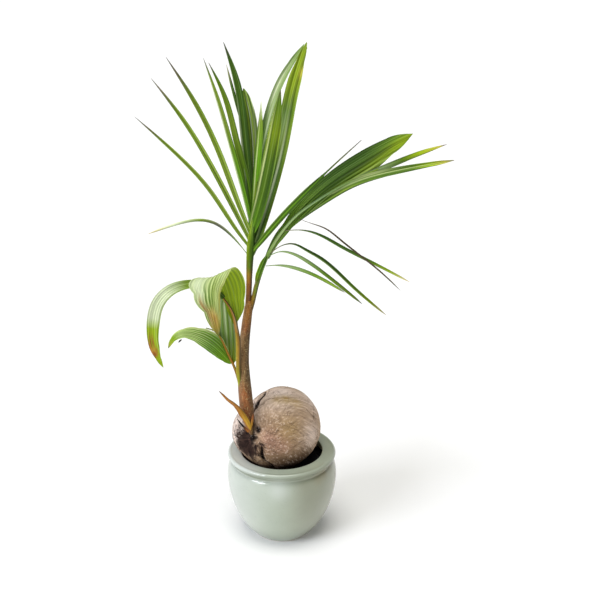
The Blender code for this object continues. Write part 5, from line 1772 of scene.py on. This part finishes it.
@dataclass(frozen=True)
class LowerLeaf:
    """The lower left leaf: one lobe points left, the other stands upright behind the upper leaf's stalk."""

    rib: Path = Path((
        (-0.071, -0.051, 0.314), (-0.0765, -0.051, 0.341), (-0.083, -0.053, 0.3635), (-0.0935, -0.058, 0.392),
        (-0.1038, -0.062, 0.4195), (-0.1155, -0.064, 0.434), (-0.128, -0.066, 0.4395)))
    radii: Rows = ((0.0, 0.0026), (0.4, 0.0022), (1.0, 0.0009))
    stalk_end: float = 0.36
    left: Path = Path((
        (-0.086, -0.053, 0.367), (-0.115, -0.068, 0.408), (-0.141, -0.079, 0.43), (-0.164, -0.087, 0.438),
        (-0.181, -0.094, 0.432), (-0.19, -0.1, 0.417)))
    left_widths: Rows = (
        (0.0, 0.003, 0.002), (0.1, 0.009, 0.007), (0.22, 0.013, 0.013), (0.35, 0.0145, 0.0185),
        (0.46, 0.0138, 0.0172), (0.6, 0.0105, 0.0128), (0.75, 0.007, 0.008), (0.9, 0.004, 0.004),
        (1.0, 0.0006, 0.0006))
    right: Path = Path((
        (-0.086, -0.052, 0.366), (-0.088, -0.045, 0.405), (-0.09, -0.042, 0.45), (-0.094, -0.04, 0.5)))
    right_widths: Rows = (
        (0.0, 0.004, 0.004), (0.12, 0.01, 0.0125), (0.25, 0.015, 0.0145), (0.45, 0.0205, 0.015),
        (0.75, 0.0185, 0.013), (1.0, 0.0, 0.0))
    scrap: Path = Path(((-0.168, -0.088, 0.4276), (-0.1712, -0.0895, 0.4255), (-0.1735, -0.09, 0.4229)))
    scrap_widths: Rows = ((0.0, 0.0006, 0.0006), (0.5, 0.0014, 0.0014), (1.0, 0.0004, 0.0004))

    def build(self) -> None:
        """Makes the stalk, the rib and the two lobes."""
        place("stalk_of_lower_leaf", Limb(
            self.rib, self.radii, ((0.0, Tone.PETIOLE), (1.0, Tone.BARK_RED)), end=self.stalk_end + 0.03,
            channel=0.3, right=(Tone.LIME, 0.4), seed=12).skin(), STALK, "stalk_lower_left")
        place("rib_of_lower_leaf", Limb(
            self.rib, self.radii, ((0.0, Tone.OCHRE), (0.7, Tone.OCHRE), (1.0, Tone.OLIVE)),
            start=self.stalk_end, left=(Tone.BARK_DARK, 0.4), seed=13).skin(), PALE_LEAF, "leaf_lower")
        colouring = plain(
            (0.0, Tone.LIME), (0.22, Tone.OLIVE), (0.38, Tone.BACK), (0.58, Tone.CREAM), (0.8, Tone.CREAM),
            (0.88, Tone.SPRING), (0.97, Tone.YELLOW), (1.0, Tone.DARK_TIP), right=Tone.CREAM, margin=0.3,
            valley=(Tone.FRESH, 1.9, 0.8))
        place("lower_left_lobe", Blade(
            self.left, self.left_widths, colouring, fold=((0.0, 0.0, -0.5), (1.0, 0.0, -0.3)), pleats=9.0,
            wave=0.01, steep=((0.0, 0.8), (0.4, 0.5), (1.0, 0.3)), grid=(100, 91),
            seed=171).skin(), PALE_LEAF)
        colouring = plain(
            (0.0, Tone.LIME), (0.3, Tone.LEAF), (1.0, Tone.LEAF), valley=(Tone.SHEEN, 0.0, 0.65),
            left=Tone.DEEP, margin=0.6)
        place("lower_right_lobe", Blade(
            self.right, self.right_widths, colouring, fold=both(0.0), pleats=4.5, wave=0.01,
            steep=((0.0, 0.9), (0.5, 0.7), (1.0, 0.5)), grid=(80, 55), seed=172).skin(), PALE_LEAF)
        place("lower_leaf_scrap", Blade(
            self.scrap, self.scrap_widths, plain((0.0, Tone.DARK_TIP), (1.0, Tone.CREVICE)), grid=(16, 7),
            seed=173).skin(), PALE_LEAF)


@dataclass(frozen=True)
class Lamp:
    """A far, soft light: its name, the side that it shines from, its width in degrees, power and colour."""

    name: str
    place: Place
    width: float
    power: float
    colour: Place = (1.0, 1.0, 1.0)

    def build(self) -> None:
        """Hangs the lamp with its face towards the middle of the floor."""
        light = bpy.data.lights.new(self.name, "SUN")
        light.energy, light.color, light.angle = self.power, self.colour, np.radians(self.width)
        lamp = added(self.name, light)
        back = unit(np.asarray(self.place))
        sideways = unit(np.cross((0.0, 0.0, 1.0), back))
        turn = np.eye(4)
        turn[:3, :3] = np.stack([sideways, np.cross(back, sideways), back], axis=1)
        turn[:3, 3] = self.place
        lamp.matrix_world = Matrix(turn.tolist())


@dataclass(frozen=True)
class Studio:
    """A white floor, soft light from the upper left, and the camera.

    Attributes:
        tilt: how far the camera looks up, in degrees.
        pane_gap: turn from one of the window's panes to the next, in degrees.
        pane_width: width of a pane, as a share of that turn.
        fade_heights: height looked at, as a share, from where the studio fades and to where.
        fade_powers: brightness of the studio below and above that.
    """

    eye: Place = (0.0339, -1.9138, 1.2268)
    tilt: float = -21.7
    lens: float = 70.0
    sensor: float = 36.0
    lamps: tuple[Lamp, ...] = field(default_factory=lambda: (
        Lamp("window", (-1.68, -1.32, 1.26), 28.0, 0.62, (0.95, 0.98, 1.08)),
        Lamp("overhead", (-0.1, -0.3, 2.0), 40.0, 2.05, (1.01, 1.0, 0.95)),
    ))
    panes: int = 5
    pane_gap: float = 6.5
    pane_width: float = 0.8
    pane_power: float = 0.19
    fade_heights: tuple[float, float] = (0.1, 0.4)
    fade_powers: tuple[float, float] = (0.97, 0.2)
    floor_reach: float = 250.0

    def build(self) -> None:
        """Sets the camera, the lamps, the surrounding light and the floor."""
        scene = bpy.context.scene
        scene.view_settings.view_transform = "Standard"
        data = bpy.data.cameras.new("camera")
        data.lens, data.sensor_width, data.clip_end = self.lens, self.sensor, 1000.0
        camera = added("camera", data)
        camera.location = self.eye
        camera.rotation_euler = (np.radians(90 + self.tilt), 0.0, 0.0)
        scene.camera = camera
        for lamp in (*self.lamps, *self.window_panes()):
            lamp.build()
        self.build_walls()
        self.build_floor()

    def window_panes(self) -> list[Lamp]:
        """The window's bright panes, which show as a row of glints on the glaze.

        Each has the window's place turned about Z, by a whole number of gaps from the middle one.

        Returns:
            One lamp for each pane.
        """
        window = self.lamps[0]
        turns = np.radians(self.pane_gap * (np.arange(self.panes) - (self.panes - 1) / 2))
        x, y, z = window.place
        return [Lamp(f"pane_{number}",
                     (x * np.cos(turn) - y * np.sin(turn), x * np.sin(turn) + y * np.cos(turn), z),
                     self.pane_width * self.pane_gap, self.pane_power, window.colour)
                for number, turn in enumerate(turns, 1)]

    def build_walls(self) -> None:
        """The studio round it: white near the floor, and evenly dimmer over the fading heights."""
        world = bpy.data.worlds.new("studio")
        world.use_nodes = True
        nodes, links = world.node_tree.nodes, world.node_tree.links
        looked, parts, fade = (nodes.new(kind) for kind in ("ShaderNodeTexCoord", "ShaderNodeSeparateXYZ",
                                                            "ShaderNodeMapRange"))
        limits = self.fade_heights + self.fade_powers
        for key, value in zip(("From Min", "From Max", "To Min", "To Max"), limits):
            fade.inputs[key].default_value = value
        links.new(looked.outputs["Generated"], parts.inputs[0])
        links.new(parts.outputs["Z"], fade.inputs["Value"])
        links.new(fade.outputs[0], nodes["Background"].inputs["Strength"])
        nodes["Background"].inputs["Color"].default_value = (1.0, 1.0, 1.0, 1.0)
        bpy.context.scene.world = world

    def build_floor(self) -> None:
        """The floor: a plain white sheet that is large enough to fill the view, and glows a little."""
        wiring = Wiring("white_floor")
        wiring.fill(wiring.shader, {"Base Color": (0.92, 0.92, 0.92, 1.0), "Roughness": 0.9,
                                    "Emission Color": (1.0, 1.0, 1.0, 1.0), "Emission Strength": 0.04})
        mesh = bpy.data.meshes.new("floor")
        reach = self.floor_reach
        corners = [(-reach, -reach, 0.0), (reach, -reach, 0.0), (reach, reach, 0.0), (-reach, reach, 0.0)]
        mesh.from_pydata(corners, [], [(0, 1, 2, 3)])
        mesh.materials.append(wiring.material)
        floor = added("floor", mesh)


def main() -> None:
    """Builds the pot, the nut, the plant and the studio."""
    logging.basicConfig(level=logging.INFO, format="%(name)s: %(message)s")
    pot, husk = Pot(), Husk()
    pot.build()
    husk.build()
    Soil().build(pot, husk)
    for piece in (Shoot(), UprightFrond(), RightFrond(), UpperLeaf(), LowerLeaf(), Studio()):
        piece.build()


if __name__ == "__main__":
    main()
